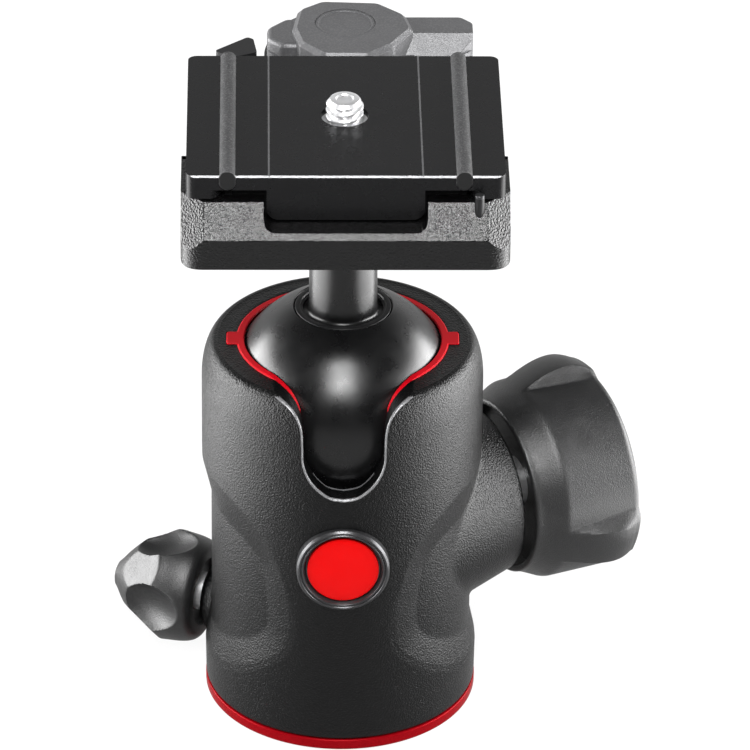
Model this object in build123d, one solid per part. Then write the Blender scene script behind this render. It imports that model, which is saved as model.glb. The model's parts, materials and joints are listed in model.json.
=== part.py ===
from build123d import *
import os
from math import atan2, cos, degrees, radians, sin

# A tripod ball head, in millimetres. The origin is the centre of the underside, +Z is up,
# the drop notch and the round badge face -Y, and the two lock knobs point to the sides.

# ---- clearances shared by the whole head -------------------------------------------------
seat_gap = 0.3            # between curved faces of pieces that move on each other
run_gap = 0.06            # radial clearance of a shaft in its bore
fit_gap = 0.05            # radial clearance of pieces fixed in each other

# ---- base --------------------------------------------------------------------------------
ring_inset = 0.8          # the red ring under the housing is this much smaller than the housing
ring_height = 3.2
ring_wall = 1.8
ring_round = 0.7
spindle_r = 14.0
spindle_top_z = 18.3
spindle_bore_r = 7.6
insert_r = 7.0            # steel insert with the tripod thread
insert_flange_r = 8.4
insert_flange = 1.6
insert_length = 12.0
base_thread_r = 3.97      # minor radius of a 3/8 inch thread
base_screw_r = 1.5
base_screw_head_r = 2.8
base_screw_head = 1.8
base_screw_sink = 0.2
base_screw_depth = 9.0
base_screw_circle_r = 11.4
base_screws = 3
washer_inner_r = 15.0
washer_outer_r = 22.6
washer_thickness = 0.3

# ---- housing -----------------------------------------------------------------------------
housing_r = 24.0
housing_taper = 0.6       # the housing's foot is this much smaller
housing_wall = 3.5
housing_gap = 0.4         # from the base ring up to the housing
belt_z = 48.0             # the housing is widest from here up
shoulder_height = 6.8     # height of the rounded shoulder, below the rim
shoulder_reach = 2.5      # how far the shoulder comes in
rim_height = 11.6         # rim above the ball's centre
notch_half_width = 7.0
notch_depth = 5.9         # from the ball's centre down to the notch's floor
notch_flare_r = 3.5
pocket_depth = 1.6        # depth of the two side pockets
pocket_front_y = 22.0
pocket_front_z = 24.0
pocket_low_y = 12.0
pocket_low_z = 9.4
pocket_high_y = 12.0
pocket_high_z = 45.4
pocket_bow = 0.82         # how round the pocket's corners are, as a share of its reach
tab_width = 4.2
tab_reach = 19.8
tab_depth = 1.6

# ---- ball, its seats and the stem --------------------------------------------------------
ball_r = 20.0
ball_z = 56.7
stem_height = 39.7        # from the ball's centre up to the clamp
seat_thickness = 1.1
upper_seat_height = 2.3   # lower edge of the red upper seat, above the ball's centre
stem_r = 5.75
stem_foot_round = 0.9
dish_r = 8.5              # dished flat round the foot of the stem
dish_height = 17.3        # above the ball's centre
collar_thickness = 0.8
cup_r = 20.2
cup_rim_depth = 12.7      # depths below the ball's centre
cup_bottom_depth = 21.3
cup_ledge_depth = 17.5
pad_height = 4.0
cup_boss_r = 5.0

# ---- main lock ---------------------------------------------------------------------------
lock_azimuth = 26.0
lock_z = 31.0
lock_boss_foot_r = 17.6
lock_boss_r = 14.5
lock_boss_proud = 4.6     # how far the boss stands out of the housing
lock_knob_gap = 1.5
lock_knob_length = 19.5
knob_skirt_r = 15.7
knob_waist_r = 17.5
knob_waist = 4.9          # distances from the back of the knob
knob_crest_r = 20.4
knob_crest = 14.9
knob_face_r = 17.6
knob_scoop_r = 17.6
knob_scoop_start = 4.8
knob_scoop_span = 98.0    # degrees
knob_flank = 9.0          # degrees that each flank of a scoop slants outwards
knob_lobes = 3
knob_lobe_angle = -13.0   # first lobe, turned from straight up
knob_bore_r = 12.6        # hollow at the back of the knob
knob_bore_depth = 4.0
knob_cap_r = 9.0
knob_cap_thickness = 1.4
plunger_r = 3.8
plunger_tip = -6.0
plunger_thread_r = 2.5
plunger_thread_depth = 11.5
ramp_slope = 0.4          # rise of the wedge for each millimetre of plunger travel
ramp_rise = 1.0           # the wedge plane crosses the housing's axis this far above the plunger's
lock_travel = 1.0         # plunger travel over the knob's range
bush_r = 8.5
bush_shoulder = 1.1
lock_shaft_r = 6.0
hub_r = 4.5
knob_screw_r = 2.0
knob_screw_head_r = 6.2
knob_screw_head = 2.4
knob_screw_length = 12.0

# ---- pan lock ----------------------------------------------------------------------------
pan_azimuth = 158.0
pan_z = 11.4
pan_boss_foot_r = 8.4
pan_boss_r = 5.8
pan_boss_proud = 0.4
pan_knob_gap = 0.9
pan_knob_length = 17.9
pan_skirt_r = 7.6
pan_belly_r = 9.7
pan_tip_r = 4.0
pan_wings = 4
pan_scoop_r = 5.2
pan_scoop_out = 11.3
pan_pad_r = 3.2
pan_pad_length = 4.4
pan_travel = 0.3          # how far the pad backs off when the knob is loosened
pan_screw_r = 2.5
pan_bush_r = 4.6
pan_shank_r = 3.4

# ---- bearing of the housing on the spindle -----------------------------------------------
bearing_foot_z = 4.2
bearing_top_z = 18.0
retainer_r = 18.0
retainer_thickness = 2.0
retainer_screw_r = 2.5
retainer_screw_head_r = 4.6
retainer_screw_head = 2.2
retainer_screw_depth = 5.0

# ---- badge -------------------------------------------------------------------------------
badge_z = 37.1
badge_r = 6.05
bezel_r = 7.9
bezel_sink = 1.5          # flat seat in the housing's front
bezel_proud = 0.9
badge_dome = 0.7
badge_sink = 0.5

# ---- clamp -------------------------------------------------------------------------------
clamp_height = 10.2       # heights above the clamp's underside, where the stem ends
clamp_deck_height = 8.3   # top of the rear part that carries the lever
clamp_slope_height = 5.5  # lower edge of the sloping front
clamp_bay_height = 6.4    # floor of the bay under the plate
spring_seat_height = 3.2  # floor of the groove of the lever's spring
clamp_half_width = 27.15
clamp_waist = 23.6        # half width behind the front jaw
clamp_front_y = -26.2
clamp_ear_y = -5.6        # rear end of the wide front jaw
clamp_rear_y = 24.0
clamp_corner_r = 5.0
clamp_foot_bevel = 0.9
lobe_wall = 2.2           # wall outside the cam's pocket
clamp_slope_y = -21.3     # top edge of the sloping front
cutout_half_width = 13.45
cutout_corner_r = 2.0
clamp_bolt_r = 2.95
clamp_bolt_head_r = 5.0
clamp_bolt_head = 3.6
clamp_bolt_length = 18.0
stop_pin_x = 21.9
stop_pin_y = -22.6         # in front of the plate, on the sloping front
stop_pin_r = 0.8
stop_pin_proud = 2.2      # above the clamp's walls
stop_pin_depth = 3.4

# ---- quick-release plate -----------------------------------------------------------------
plate_x = 52.5
plate_y = 42.5
plate_height = 8.14       # from the dovetail's foot to the plate's top
plate_slab = 2.6
plate_end_block = 5.4
plate_end_drop = 4.2
tongue_half_width = 13.0
dovetail_half_width = 20.0
dovetail_front_y = -19.5
dovetail_rear_y = 21.0
dovetail_slope = 1.5      # how far each dovetail face leans inwards over its height
dovetail_gap = 0.5
plate_corner_r = 1.5
strip_x = 19.45
strip_width = 2.8
strip_height = 3.6
strip_proud = 0.9
screw_r = 3.175           # 1/4 inch camera thread
screw_reach = 4.36        # camera screw above the plate
screw_head_r = 8.0
screw_head = 2.2
screw_slot = 1.6
screw_slot_depth = 1.1
screw_well_r = 4.7        # counterbore round the screw in the plate's top
screw_well_depth = 1.8
clip_thickness = 0.6

# ---- lever, trip pin and safety catch ----------------------------------------------------
lever_x = 0.5
lever_y = 35.0
lever_height = 5.8        # above the clamp's deck
lever_hub_r = 10.6
lever_hub_chamfer = 1.2
lever_arm_x = 22.4
lever_arm_front_y = 30.6
lever_arm_rear_y = 39.0
lever_arm_height = 4.7
lever_arm_slope = 2.6
lever_stub_x = -12.9
lever_stub_front_y = 29.8
lever_stub_rear_y = 39.4
cam_r = 11.7
cam_throw = 2.2
cam_phase = 30.0          # degrees past dead centre when locked
lever_range = 95.0        # degrees that the lever opens by
lever_skirt_r = 13.2
lever_skirt_height = 1.6
pivot_r = 3.0
pivot_head_r = 5.2
pivot_head = 1.2
pivot_sink = 1.0          # from the lever's top down to the pivot's head
spring_wire_r = 0.4
spring_coil_r = 4.6
spring_turns = 3
trip_y = 10.0
trip_r = 2.6
trip_length = 3.2
trip_seat_height = 1.2    # above the clamp's underside
catch_x = -18.2
catch_y = 27.8
catch_pin_r = 1.2
catch_height = 5.3        # above the clamp's deck
catch_thickness = 1.3
catch_post_r = 2.4
catch_corners = ((-22.0, 25.4), (-16.2, 30.6), (-15.2, 29.8), (-14.6, 25.0), (-18.2, 23.4))

# ---- sizes that follow from the ones above -----------------------------------------------
ring_r = housing_r - ring_inset
housing_foot_z = ring_height + housing_gap
housing_foot_r = housing_r - housing_taper
housing_bore_r = housing_r - housing_wall
rim_r = housing_r - shoulder_reach
rim_z = ball_z + rim_height
shoulder_z = rim_z - shoulder_height
notch_floor_z = ball_z - notch_depth
pocket_floor_r = housing_r - pocket_depth
upper_seat_z = ball_z + upper_seat_height
dish_z = ball_z + dish_height
cup_rim_z = ball_z - cup_rim_depth
cup_bottom_z = ball_z - cup_bottom_depth
cup_ledge_z = ball_z - cup_ledge_depth
bezel_seat_y = bezel_sink - housing_r
bezel_face_y = -housing_r - bezel_proud

# along the knobs, as distances from the housing's axis
lock_boss_end = housing_r + lock_boss_proud
lock_knob_start = lock_boss_end + lock_knob_gap
lock_knob_end = lock_knob_start + lock_knob_length
plunger_end = housing_bore_r + 2 * fit_gap
bush_start = plunger_end + 2 * fit_gap
ramp_z = lock_z + ramp_rise
pan_boss_end = housing_r + pan_boss_proud
pan_knob_start = pan_boss_end + pan_knob_gap
pan_knob_end = pan_knob_start + pan_knob_length

# the clamp, and what it carries
clamp_z = ball_z + stem_height
clamp_wall_z = clamp_z + clamp_height
clamp_deck_z = clamp_z + clamp_deck_height
clamp_slope_z = clamp_z + clamp_slope_height
clamp_floor_z = clamp_z + clamp_bay_height
spring_seat_z = clamp_z + spring_seat_height
trip_seat_z = clamp_z + trip_seat_height
stop_pin_top_z = clamp_wall_z + stop_pin_proud
dovetail_bottom_z = clamp_floor_z + seat_gap
plate_z = dovetail_bottom_z + plate_height
screw_top_z = plate_z + screw_reach
cam_z = dovetail_bottom_z
deck_gap_z = clamp_deck_z + seat_gap      # underside of the lever and of the catch
lever_top_z = clamp_deck_z + lever_height
lever_arm_top_z = clamp_deck_z + lever_arm_height
catch_top_z = clamp_deck_z + catch_height


def disc(radius, low, high, x=0.0, y=0.0):
    """A cylinder about an upright axis, between two heights."""
    upright = (Align.CENTER, Align.CENTER, Align.MIN)
    return Pos(x, y, low) * Cylinder(radius, high - low, align=upright)


def tube(inner, outer, low, high, x=0.0, y=0.0):
    return disc(outer, low, high, x, y) - disc(inner, low - 1, high + 1, x, y)


def block(x0, x1, y0, y1, z0, z1):
    return Pos((x0 + x1) / 2, (y0 + y1) / 2, (z0 + z1) / 2) * Box(x1 - x0, y1 - y0, z1 - z0)


def turned(*points):
    """A solid of revolution about Z from its (radius, height) corners."""
    outline = Polyline(*[(radius, 0, height) for radius, height in points], close=True)
    return revolve(make_face(outline), Axis.Z)


def radial(azimuth, height):
    """A plane at the housing's axis whose normal points outwards along a knob, with x upwards."""
    outwards = (cos(radians(azimuth)), sin(radians(azimuth)), 0)
    return Plane(origin=(0, 0, height), x_dir=(0, 0, 1), z_dir=outwards)


def along(azimuth, height, shape):
    return radial(azimuth, height).location * shape


def ball_shell(inner, outer, low, high):
    """The slice between two heights of a shell about the ball's centre."""
    shell = Pos(0, 0, ball_z) * (Sphere(outer) - Sphere(inner))
    return shell & disc(2 * housing_r, low, high)


def notch_cutter():
    """Keyhole for the stem: a round floor, straight sides and flared lips at the rim."""
    centre_z = notch_floor_z + notch_half_width
    lip_z = rim_z - notch_flare_r
    reach = notch_half_width + notch_flare_r
    bend = notch_flare_r * (1 - cos(radians(45)))
    w = notch_half_width
    outline = Curve() + [
        ThreePointArc((-w, centre_z), (0, notch_floor_z), (w, centre_z)),
        Line((w, centre_z), (w, lip_z)),
        ThreePointArc((w, lip_z), (w + bend, rim_z - bend), (reach, rim_z)),
        Line((reach, rim_z), (reach, rim_z + 5)),
        Line((reach, rim_z + 5), (-reach, rim_z + 5)),
        Line((-reach, rim_z + 5), (-reach, rim_z)),
        ThreePointArc((-reach, rim_z), (-w - bend, rim_z - bend), (-w, lip_z)),
        Line((-w, lip_z), (-w, centre_z)),
    ]
    face = Plane.XZ * make_face(outline)
    return extrude(face, amount=2 * housing_r)


# ================================ base ================================

def base_ring():
    inner = ring_r - ring_wall
    ring = tube(inner, ring_r, 0, ring_height)
    return fillet(ring.edges().filter_by(GeomType.CIRCLE).group_by(SortBy.RADIUS)[-1], ring_round)


def base_screw_spots():
    return [Rot(0, 0, 360 * n / base_screws) * Pos(base_screw_circle_r, 0, 0) for n in range(base_screws)]


def base_disc():
    """Aluminium foot with the seat of the thread insert and three countersunk holes."""
    body = disc(ring_r - ring_wall, 0, ring_height)
    body -= disc(insert_flange_r + fit_gap, -1, insert_flange)
    body -= disc(insert_r + fit_gap, -1, ring_height + 1)
    for spot in base_screw_spots():
        body -= spot * base_screw(fit_gap)
    return body


def base_screw(extra=0.0):
    top = base_screw_sink + base_screw_head
    head = disc(base_screw_head_r + extra, base_screw_sink - (extra and 1), top + (extra and 0.05))
    return head + disc(base_screw_r + extra, base_screw_sink, ring_height + base_screw_depth)


def pan_spindle():
    """Steel spindle that the whole housing turns on."""
    body = disc(spindle_r, ring_height, spindle_top_z)
    body -= disc(spindle_bore_r, ring_height - 1, insert_length + 0.5)
    body -= disc(retainer_screw_r + fit_gap, spindle_top_z - retainer_screw_depth, spindle_top_z + 1)
    for spot in base_screw_spots():
        body -= spot * base_screw(fit_gap)
    return body


def thread_insert():
    body = disc(insert_flange_r, 0, insert_flange - fit_gap) + disc(insert_r, 0, insert_length)
    return body - disc(base_thread_r, -1, insert_length + 1)


def spindle_retainer():
    """Disc on top of the spindle that holds the bearing ring down."""
    top = spindle_top_z + retainer_thickness
    body = disc(retainer_r, spindle_top_z, top)
    return body - disc(retainer_screw_r + fit_gap, spindle_top_z - 1, top + 1)


def retainer_screw():
    top = spindle_top_z + retainer_thickness
    body = disc(retainer_screw_head_r, top, top + retainer_screw_head)
    body += disc(retainer_screw_r, spindle_top_z - retainer_screw_depth + 0.2, top + 0.1)
    socket = extrude(Pos(0, 0, top + 0.8) * RegularPolygon(2.3, 6), amount=3)
    return body - socket


def pan_washer():
    return tube(washer_inner_r, washer_outer_r, ring_height, ring_height + washer_thickness)


# ================================ housing ================================

def pocket_cutter(side):
    """One side pocket, cut in from the side down to a round floor."""
    front = (-pocket_front_y, pocket_front_z)
    back = (pocket_front_y, pocket_front_z)
    high_z = pocket_high_z - (1 - pocket_bow) * (pocket_high_z - pocket_front_z)
    low_z = pocket_low_z + (1 - pocket_bow) * (pocket_front_z - pocket_low_z)
    out_y = pocket_bow * pocket_front_y
    points = [
        front, (-out_y - 0.6, low_z + 0.9), (-pocket_low_y, pocket_low_z),
        (pocket_low_y, pocket_low_z), (out_y + 0.6, low_z + 0.9), back,
        (out_y + 1.6, high_z - 1.8), (pocket_high_y, pocket_high_z),
        (-pocket_high_y, pocket_high_z), (-out_y - 1.6, high_z - 1.8),
    ]
    arcs = Curve() + [
        ThreePointArc(points[0], points[1], points[2]),
        Line(points[2], points[3]),
        ThreePointArc(points[3], points[4], points[5]),
        ThreePointArc(points[5], points[6], points[7]),
        Line(points[7], points[8]),
        ThreePointArc(points[8], points[9], points[0]),
    ]
    prism = extrude(Plane.YZ * make_face(arcs), amount=side * 2 * housing_r)
    return prism - disc(pocket_floor_r, -1, rim_z + 5)


def lock_boss():
    return turned((0, housing_bore_r - 4), (lock_boss_foot_r, housing_bore_r - 4),
                  (lock_boss_r, lock_boss_end), (0, lock_boss_end))


def pan_boss():
    return turned((0, housing_bore_r - 1), (pan_boss_foot_r, housing_bore_r - 1),
                  (pan_boss_r, pan_boss_end), (0, pan_boss_end))


def housing_blank():
    """Outside of the housing: a slightly tapered drum with an elliptical shoulder up to the rim."""
    foot_z = housing_foot_z
    outline = Curve() + [
        Line((0, foot_z), (housing_foot_r, foot_z)),
        Line((housing_foot_r, foot_z), (housing_r, belt_z)),
        Line((housing_r, belt_z), (housing_r, shoulder_z)),
        EllipticalCenterArc((rim_r, shoulder_z), housing_r - rim_r, rim_z - shoulder_z, 0, arc_size=90),
        Line((rim_r, rim_z), (0, rim_z)),
        Line((0, rim_z), (0, foot_z)),
    ]
    return revolve(Plane.XZ * make_face(outline), Axis.Z)


def housing():
    seat_r = ball_r + seat_gap + seat_thickness + fit_gap
    body = housing_blank() - pocket_cutter(1) - pocket_cutter(-1)
    body += along(lock_azimuth, lock_z, lock_boss())
    body += along(pan_azimuth, pan_z, pan_boss())
    body -= disc(housing_bore_r, housing_foot_z - 1, upper_seat_z)
    body -= Pos(0, 0, ball_z) * Sphere(seat_r) & disc(2 * housing_r, upper_seat_z - fit_gap, rim_z + 5)
    body -= notch_cutter()
    body -= tab_cutter(fit_gap)
    body -= along(lock_azimuth, lock_z, disc(bush_r + fit_gap, 0, lock_boss_end + 1))
    body -= along(pan_azimuth, pan_z, disc(pan_bush_r + fit_gap, 0, pan_boss_end + 1))
    body -= Pos(0, 0, badge_z) * Rot(90, 0, 0) * disc(bezel_r + fit_gap, -bezel_seat_y, 2 * housing_r)
    return body


def tab_cutter(extra=0.0):
    """Space of the two tabs that stop the upper seat from turning."""
    half = tab_width / 2 + extra
    reach = tab_reach + extra
    return block(-reach, reach, -half, half, rim_z - tab_depth - extra, rim_z)


def upper_seat():
    """Red plastic ring that the ball is pressed up against, open at the notch."""
    inner = ball_r + seat_gap
    outer = inner + seat_thickness
    ring = ball_shell(inner, outer, upper_seat_z, rim_z)
    tabs = tab_cutter() - Pos(0, 0, ball_z) * Sphere(inner)
    return ring + tabs - notch_cutter()


def bearing_ring():
    """Ring fixed in the housing that runs round the spindle, with a hole for the pan lock's pad."""
    ring = tube(spindle_r + run_gap, housing_bore_r - fit_gap, bearing_foot_z, bearing_top_z)
    pad_hole = disc(pan_pad_r + run_gap, 0, housing_r)
    return ring - along(pan_azimuth, pan_z, pad_hole)


def badge_bezel():
    ring = tube(badge_r + fit_gap, bezel_r, -bezel_seat_y, -bezel_face_y)
    lip = ring.faces().sort_by(Axis.Z)[-1].edges()
    return Pos(0, 0, badge_z) * Rot(90, 0, 0) * fillet(lip, 0.4)


def badge_disc():
    """Plain domed disc in the bezel."""
    edge = -bezel_face_y - badge_sink
    dome_r = (badge_r ** 2 + badge_dome ** 2) / (2 * badge_dome)
    dome = Pos(0, 0, edge + badge_dome - dome_r) * Sphere(dome_r)
    body = disc(badge_r, -bezel_seat_y, edge + 2 * badge_dome) & dome
    return Pos(0, 0, badge_z) * Rot(90, 0, 0) * body


# ================================ main lock ================================

def lock_bush():
    outer = disc(bush_r, bush_start, lock_boss_end)
    bore = disc(lock_shaft_r + run_gap, bush_start + bush_shoulder, lock_boss_end + 1)
    guide = disc(plunger_r + run_gap, bush_start - 1, bush_start + bush_shoulder + 1)
    return along(lock_azimuth, lock_z, outer - bore - guide)


def ramp_half(gap):
    """Everything under the wedge plane, in the plunger's own frame: x is up, z is outwards."""
    angle = degrees(atan2(ramp_slope, 1))
    slab = Pos(-50, 0, 0) * Box(100, 100, 200)
    lift = ramp_z - lock_z - gap
    return Pos(lift, 0, 0) * Rot(0, angle, 0) * slab


def lock_plunger():
    """Steel plunger with a wedge-shaped end that lifts the cup."""
    body = disc(plunger_r, plunger_tip, plunger_end)
    body -= disc(plunger_thread_r + run_gap, plunger_end - plunger_thread_depth, plunger_end + 1)
    return along(lock_azimuth, lock_z, body & ramp_half(seat_gap / 2))


def lock_spindle():
    """Threaded spindle of the main knob, held endways between the bush and the knob."""
    thread_start = plunger_end - plunger_thread_depth + lock_travel + 0.5
    shaft_start = bush_start + bush_shoulder + seat_gap
    body = disc(plunger_thread_r, thread_start, shaft_start + 0.1)
    body += disc(lock_shaft_r, shaft_start, lock_knob_start + 2)
    body += disc(hub_r, lock_knob_start, lock_knob_end - knob_cap_thickness - knob_screw_head - 1)
    end = lock_knob_end - knob_cap_thickness - knob_screw_head
    body -= disc(knob_screw_r + fit_gap, end - knob_screw_length, end)
    return along(lock_azimuth, lock_z, body)


def knob_scoop(angle):
    """One wide finger scoop, bounded by a round floor and two slanting flanks."""
    half = radians(knob_scoop_span / 2)
    reach = 2 * knob_crest_r
    flank = half + radians(knob_flank)
    near_x, near_y = knob_scoop_r * cos(half), knob_scoop_r * sin(half)
    far_x, far_y = reach * cos(flank), reach * sin(flank)
    outline = Curve() + [
        ThreePointArc((near_x, -near_y), (knob_scoop_r, 0), (near_x, near_y)),
        Line((near_x, near_y), (far_x, far_y)),
        Line((far_x, far_y), (reach, far_y)),
        Line((reach, far_y), (reach, -far_y)),
        Line((reach, -far_y), (far_x, -far_y)),
        Line((far_x, -far_y), (near_x, -near_y)),
    ]
    face = Pos(0, 0, lock_knob_start + knob_scoop_start) * make_face(outline)
    return Rot(0, 0, angle) * extrude(face, amount=lock_knob_end)


def lock_knob():
    """Three-lobed knob, flared towards the lobes, hollow at the back round the boss."""
    start, end = lock_knob_start, lock_knob_end
    crest = start + knob_crest
    outline = Curve() + [
        Line((hub_r + fit_gap, start), (knob_skirt_r, start)),
        ThreePointArc((knob_skirt_r, start), (knob_waist_r, start + knob_waist), (knob_crest_r, crest)),
        ThreePointArc((knob_crest_r, crest), (knob_crest_r - 0.4, end - 1.8), (knob_face_r, end)),
        Line((knob_face_r, end), (hub_r + fit_gap, end)),
        Line((hub_r + fit_gap, end), (hub_r + fit_gap, start)),
    ]
    body = revolve(Plane.XZ * make_face(outline), Axis.Z)
    for n in range(knob_lobes):
        body -= knob_scoop(knob_lobe_angle + 360 / knob_lobes * (n + 0.5))
    body -= tube(lock_shaft_r + 1.5, knob_bore_r, start - 1, start + knob_bore_depth)
    body -= disc(lock_shaft_r + fit_gap, start - 1, start + 2 + fit_gap)
    body -= disc(knob_cap_r + fit_gap, end - knob_cap_thickness - knob_screw_head, end + 1)
    return along(lock_azimuth, lock_z, body)


def knob_screw():
    seat = lock_knob_end - knob_cap_thickness - knob_screw_head
    body = disc(knob_screw_head_r, seat, seat + knob_screw_head - 0.3)
    body += disc(knob_screw_r, seat - knob_screw_length + 0.5, seat + 0.1)
    socket = extrude(Pos(0, 0, seat + 0.8) * RegularPolygon(1.7, 6), amount=3)
    return along(lock_azimuth, lock_z, body - socket)


def knob_cap():
    start = lock_knob_end - knob_cap_thickness
    return along(lock_azimuth, lock_z, disc(knob_cap_r, start, lock_knob_end))


# ================================ pan lock ================================

def pan_pad():
    """Brake pad that presses on the spindle."""
    start = spindle_r - 1
    end = spindle_r + seat_gap + pan_pad_length
    body = along(pan_azimuth, pan_z, disc(pan_pad_r, start, end))
    return body - disc(spindle_r + seat_gap, 0, housing_r)


def pan_bush():
    outer = disc(pan_bush_r, housing_bore_r + 0.1, pan_boss_end)
    return along(pan_azimuth, pan_z, outer - disc(pan_screw_r + run_gap, 0, pan_boss_end + 1))


def pan_screw():
    start = spindle_r + seat_gap + pan_pad_length + pan_travel + run_gap
    body = disc(pan_screw_r, start, pan_knob_start + 0.1)
    body += disc(pan_shank_r, pan_knob_start - 0.5, pan_knob_end - 5)
    return along(pan_azimuth, pan_z, body)


def pan_knob():
    """Small winged knob with oval scoops between its wings."""
    start, end = pan_knob_start, pan_knob_end
    outline = Curve() + [
        Line((0, start), (pan_skirt_r, start)),
        ThreePointArc((pan_skirt_r, start), (pan_belly_r - 0.3, start + 3.6), (pan_belly_r, start + 7)),
        Line((pan_belly_r, start + 7), (pan_tip_r + 1.2, end - 2.4)),
        ThreePointArc((pan_tip_r + 1.2, end - 2.4), (pan_tip_r, end - 0.7), (pan_tip_r - 1.4, end)),
        Line((pan_tip_r - 1.4, end), (0, end)),
        Line((0, end), (0, start)),
    ]
    body = revolve(Plane.XZ * make_face(outline), Axis.Z)
    scoop = Pos(pan_scoop_out, 0, start + 8.5) * Rot(0, -12, 0) * scale(Sphere(pan_scoop_r), (1, 1, 1.9))
    for n in range(pan_wings):
        body -= Rot(0, 0, 45 + 360 / pan_wings * n) * scoop
    body -= disc(pan_shank_r + fit_gap, start - 1, end - 5 + fit_gap)
    body -= disc(pan_skirt_r - 1.2, start - 1, start + 1.6) - disc(pan_shank_r + 1.2, 0, end)
    return along(pan_azimuth, pan_z, body)


# ================================ cup, pad and ball ================================

def ball_cup():
    """Lower seat of the ball. A slanting boss underneath rides on the plunger's wedge."""
    inner = ball_r + seat_gap
    body = disc(cup_r, cup_bottom_z, cup_rim_z)
    body += disc(cup_boss_r, lock_z - 4, cup_bottom_z + 0.1)
    wedge = ramp_half(-seat_gap / 2) & disc(3 * plunger_r, -housing_r, housing_r)
    body -= along(lock_azimuth, lock_z, wedge)
    body -= Pos(0, 0, ball_z) * Sphere(inner)
    wide = Pos(0, 0, ball_z) * Sphere(inner + seat_thickness + seat_gap)
    body -= wide & disc(2 * cup_r, cup_ledge_z, cup_rim_z + 1)
    return body


def cup_pad():
    """Nylon ring between the cup and the ball, which turns with the ball."""
    low = cup_ledge_z + seat_gap
    return ball_shell(ball_r + seat_gap, ball_r + seat_gap + seat_thickness, low, low + pad_height)


def ball():
    """Ball and stem, turned from one bar."""
    body = Pos(0, 0, ball_z) * Sphere(ball_r)
    body -= disc(dish_r, dish_z, clamp_z)
    body += disc(stem_r, dish_z - 5, clamp_z)
    foot = [e for e in body.edges().filter_by(GeomType.CIRCLE)
            if abs(e.radius - stem_r) < 0.01 and abs(e.arc_center.Z - dish_z) < 0.01]
    body = fillet(foot, stem_foot_round)
    hole_low = clamp_floor_z - clamp_bolt_head - clamp_bolt_length - 1
    return body - disc(clamp_bolt_r + fit_gap, hole_low, clamp_z + 1)


def stem_collar():
    """Loose plastic collar that lies in the dish round the stem."""
    inner = stem_r + stem_foot_round + 0.2
    return tube(inner, dish_r - seat_gap, dish_z + 0.1, dish_z + collar_thickness)


# ================================ clamp ================================

def clamp_outline(z0, z1):
    """Plan of the clamp: wide front jaw, narrower middle and a round lobe that carries the lever."""
    jaw = block(-clamp_half_width, clamp_half_width, clamp_front_y, clamp_ear_y, z0, z1)
    jaw = fillet(jaw.edges().filter_by(Axis.Z).group_by(Axis.Y)[0], clamp_corner_r)
    middle = block(-clamp_waist, clamp_waist, clamp_ear_y - 1, clamp_rear_y, z0, z1)
    return jaw + middle


def lever_lobe(z0, z1):
    pocket_x, pocket_y, pocket_r = cam_pocket()
    lobe = disc(pocket_r + lobe_wall, z0, z1, pocket_x, pocket_y)
    root = block(-clamp_waist + 1, clamp_waist - 4, clamp_rear_y - 3, pocket_y - 1.5, z0, z1)
    return lobe + root


def cam_pocket():
    """Middle and radius of the round pocket that the cam swings in."""
    swing = radians(lever_range)
    start = radians(-90 + cam_phase)
    middle = start + swing / 2
    reach = 2 * cam_throw * sin(swing / 4)
    radius = cam_r + reach + seat_gap + run_gap
    return (lever_x + cam_throw * cos(middle), lever_y + cam_throw * sin(middle), radius)


def clamp_body():
    body = clamp_outline(clamp_z, clamp_wall_z) + lever_lobe(clamp_z, clamp_deck_z)
    underside = body.faces().sort_by(Axis.Z)[0].edges()
    body = chamfer([e for e in underside if e.center().Y < clamp_ear_y], clamp_foot_bevel)
    # sloping front, from the wall's top down to the upright front face
    steepness = (clamp_wall_z - clamp_slope_z) / (clamp_slope_y - clamp_front_y)
    ahead_y = clamp_front_y - 1
    wedge = make_face(Polyline(
        (clamp_slope_y, clamp_wall_z), (ahead_y, clamp_slope_z - steepness),
        (ahead_y, clamp_wall_z + 1), (clamp_slope_y, clamp_wall_z + 1), close=True))
    body -= extrude(Plane.YZ * wedge, amount=clamp_half_width, both=True)
    # bay of the dovetail, undercut at the front
    z0, z1 = clamp_floor_z, clamp_wall_z
    lean = dovetail_slope / (plate_z - plate_slab - dovetail_bottom_z)
    front_low = dovetail_front_y - dovetail_gap
    front_high = front_low + lean * (z1 - z0)
    rear = dovetail_rear_y + seat_gap + run_gap
    behind_y = clamp_rear_y + 20
    bay = make_face(Polyline(
        (front_low, z0), (front_high, z1 + 1), (behind_y, z1 + 1),
        (behind_y, clamp_deck_z), (rear, clamp_deck_z), (rear, z0), close=True))
    half = dovetail_half_width + dovetail_gap
    body -= extrude(Plane.YZ * bay, amount=half, both=True)
    # window for the plate's tongue, open at the front
    body -= tongue_window(z0)
    # round pocket of the cam, and the holes
    pocket_x, pocket_y, pocket_r = cam_pocket()
    body -= disc(pocket_r, cam_z - seat_gap, clamp_wall_z + 1, pocket_x, pocket_y)
    body -= disc(lever_skirt_r + seat_gap, clamp_deck_z, clamp_wall_z + 1, lever_x, lever_y)
    body -= disc(pivot_r + fit_gap, clamp_z + 1.5, cam_z, lever_x, lever_y)
    body -= tube(pivot_r + 0.6, spring_coil_r + 1.2, spring_seat_z, cam_z, lever_x, lever_y)
    body -= disc(clamp_bolt_r + fit_gap, clamp_z - 1, clamp_floor_z)
    body -= disc(clamp_bolt_head_r + fit_gap, clamp_floor_z - clamp_bolt_head - 0.2, clamp_floor_z + 1)
    body -= disc(trip_r + run_gap, trip_seat_z, clamp_floor_z + 1, 0, trip_y)
    body -= disc(catch_pin_r + run_gap, clamp_z + 2, clamp_deck_z + 1, catch_x, catch_y)
    body -= disc(stop_pin_r + fit_gap, clamp_slope_z - stop_pin_depth, clamp_wall_z, stop_pin_x, stop_pin_y)
    return body


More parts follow.
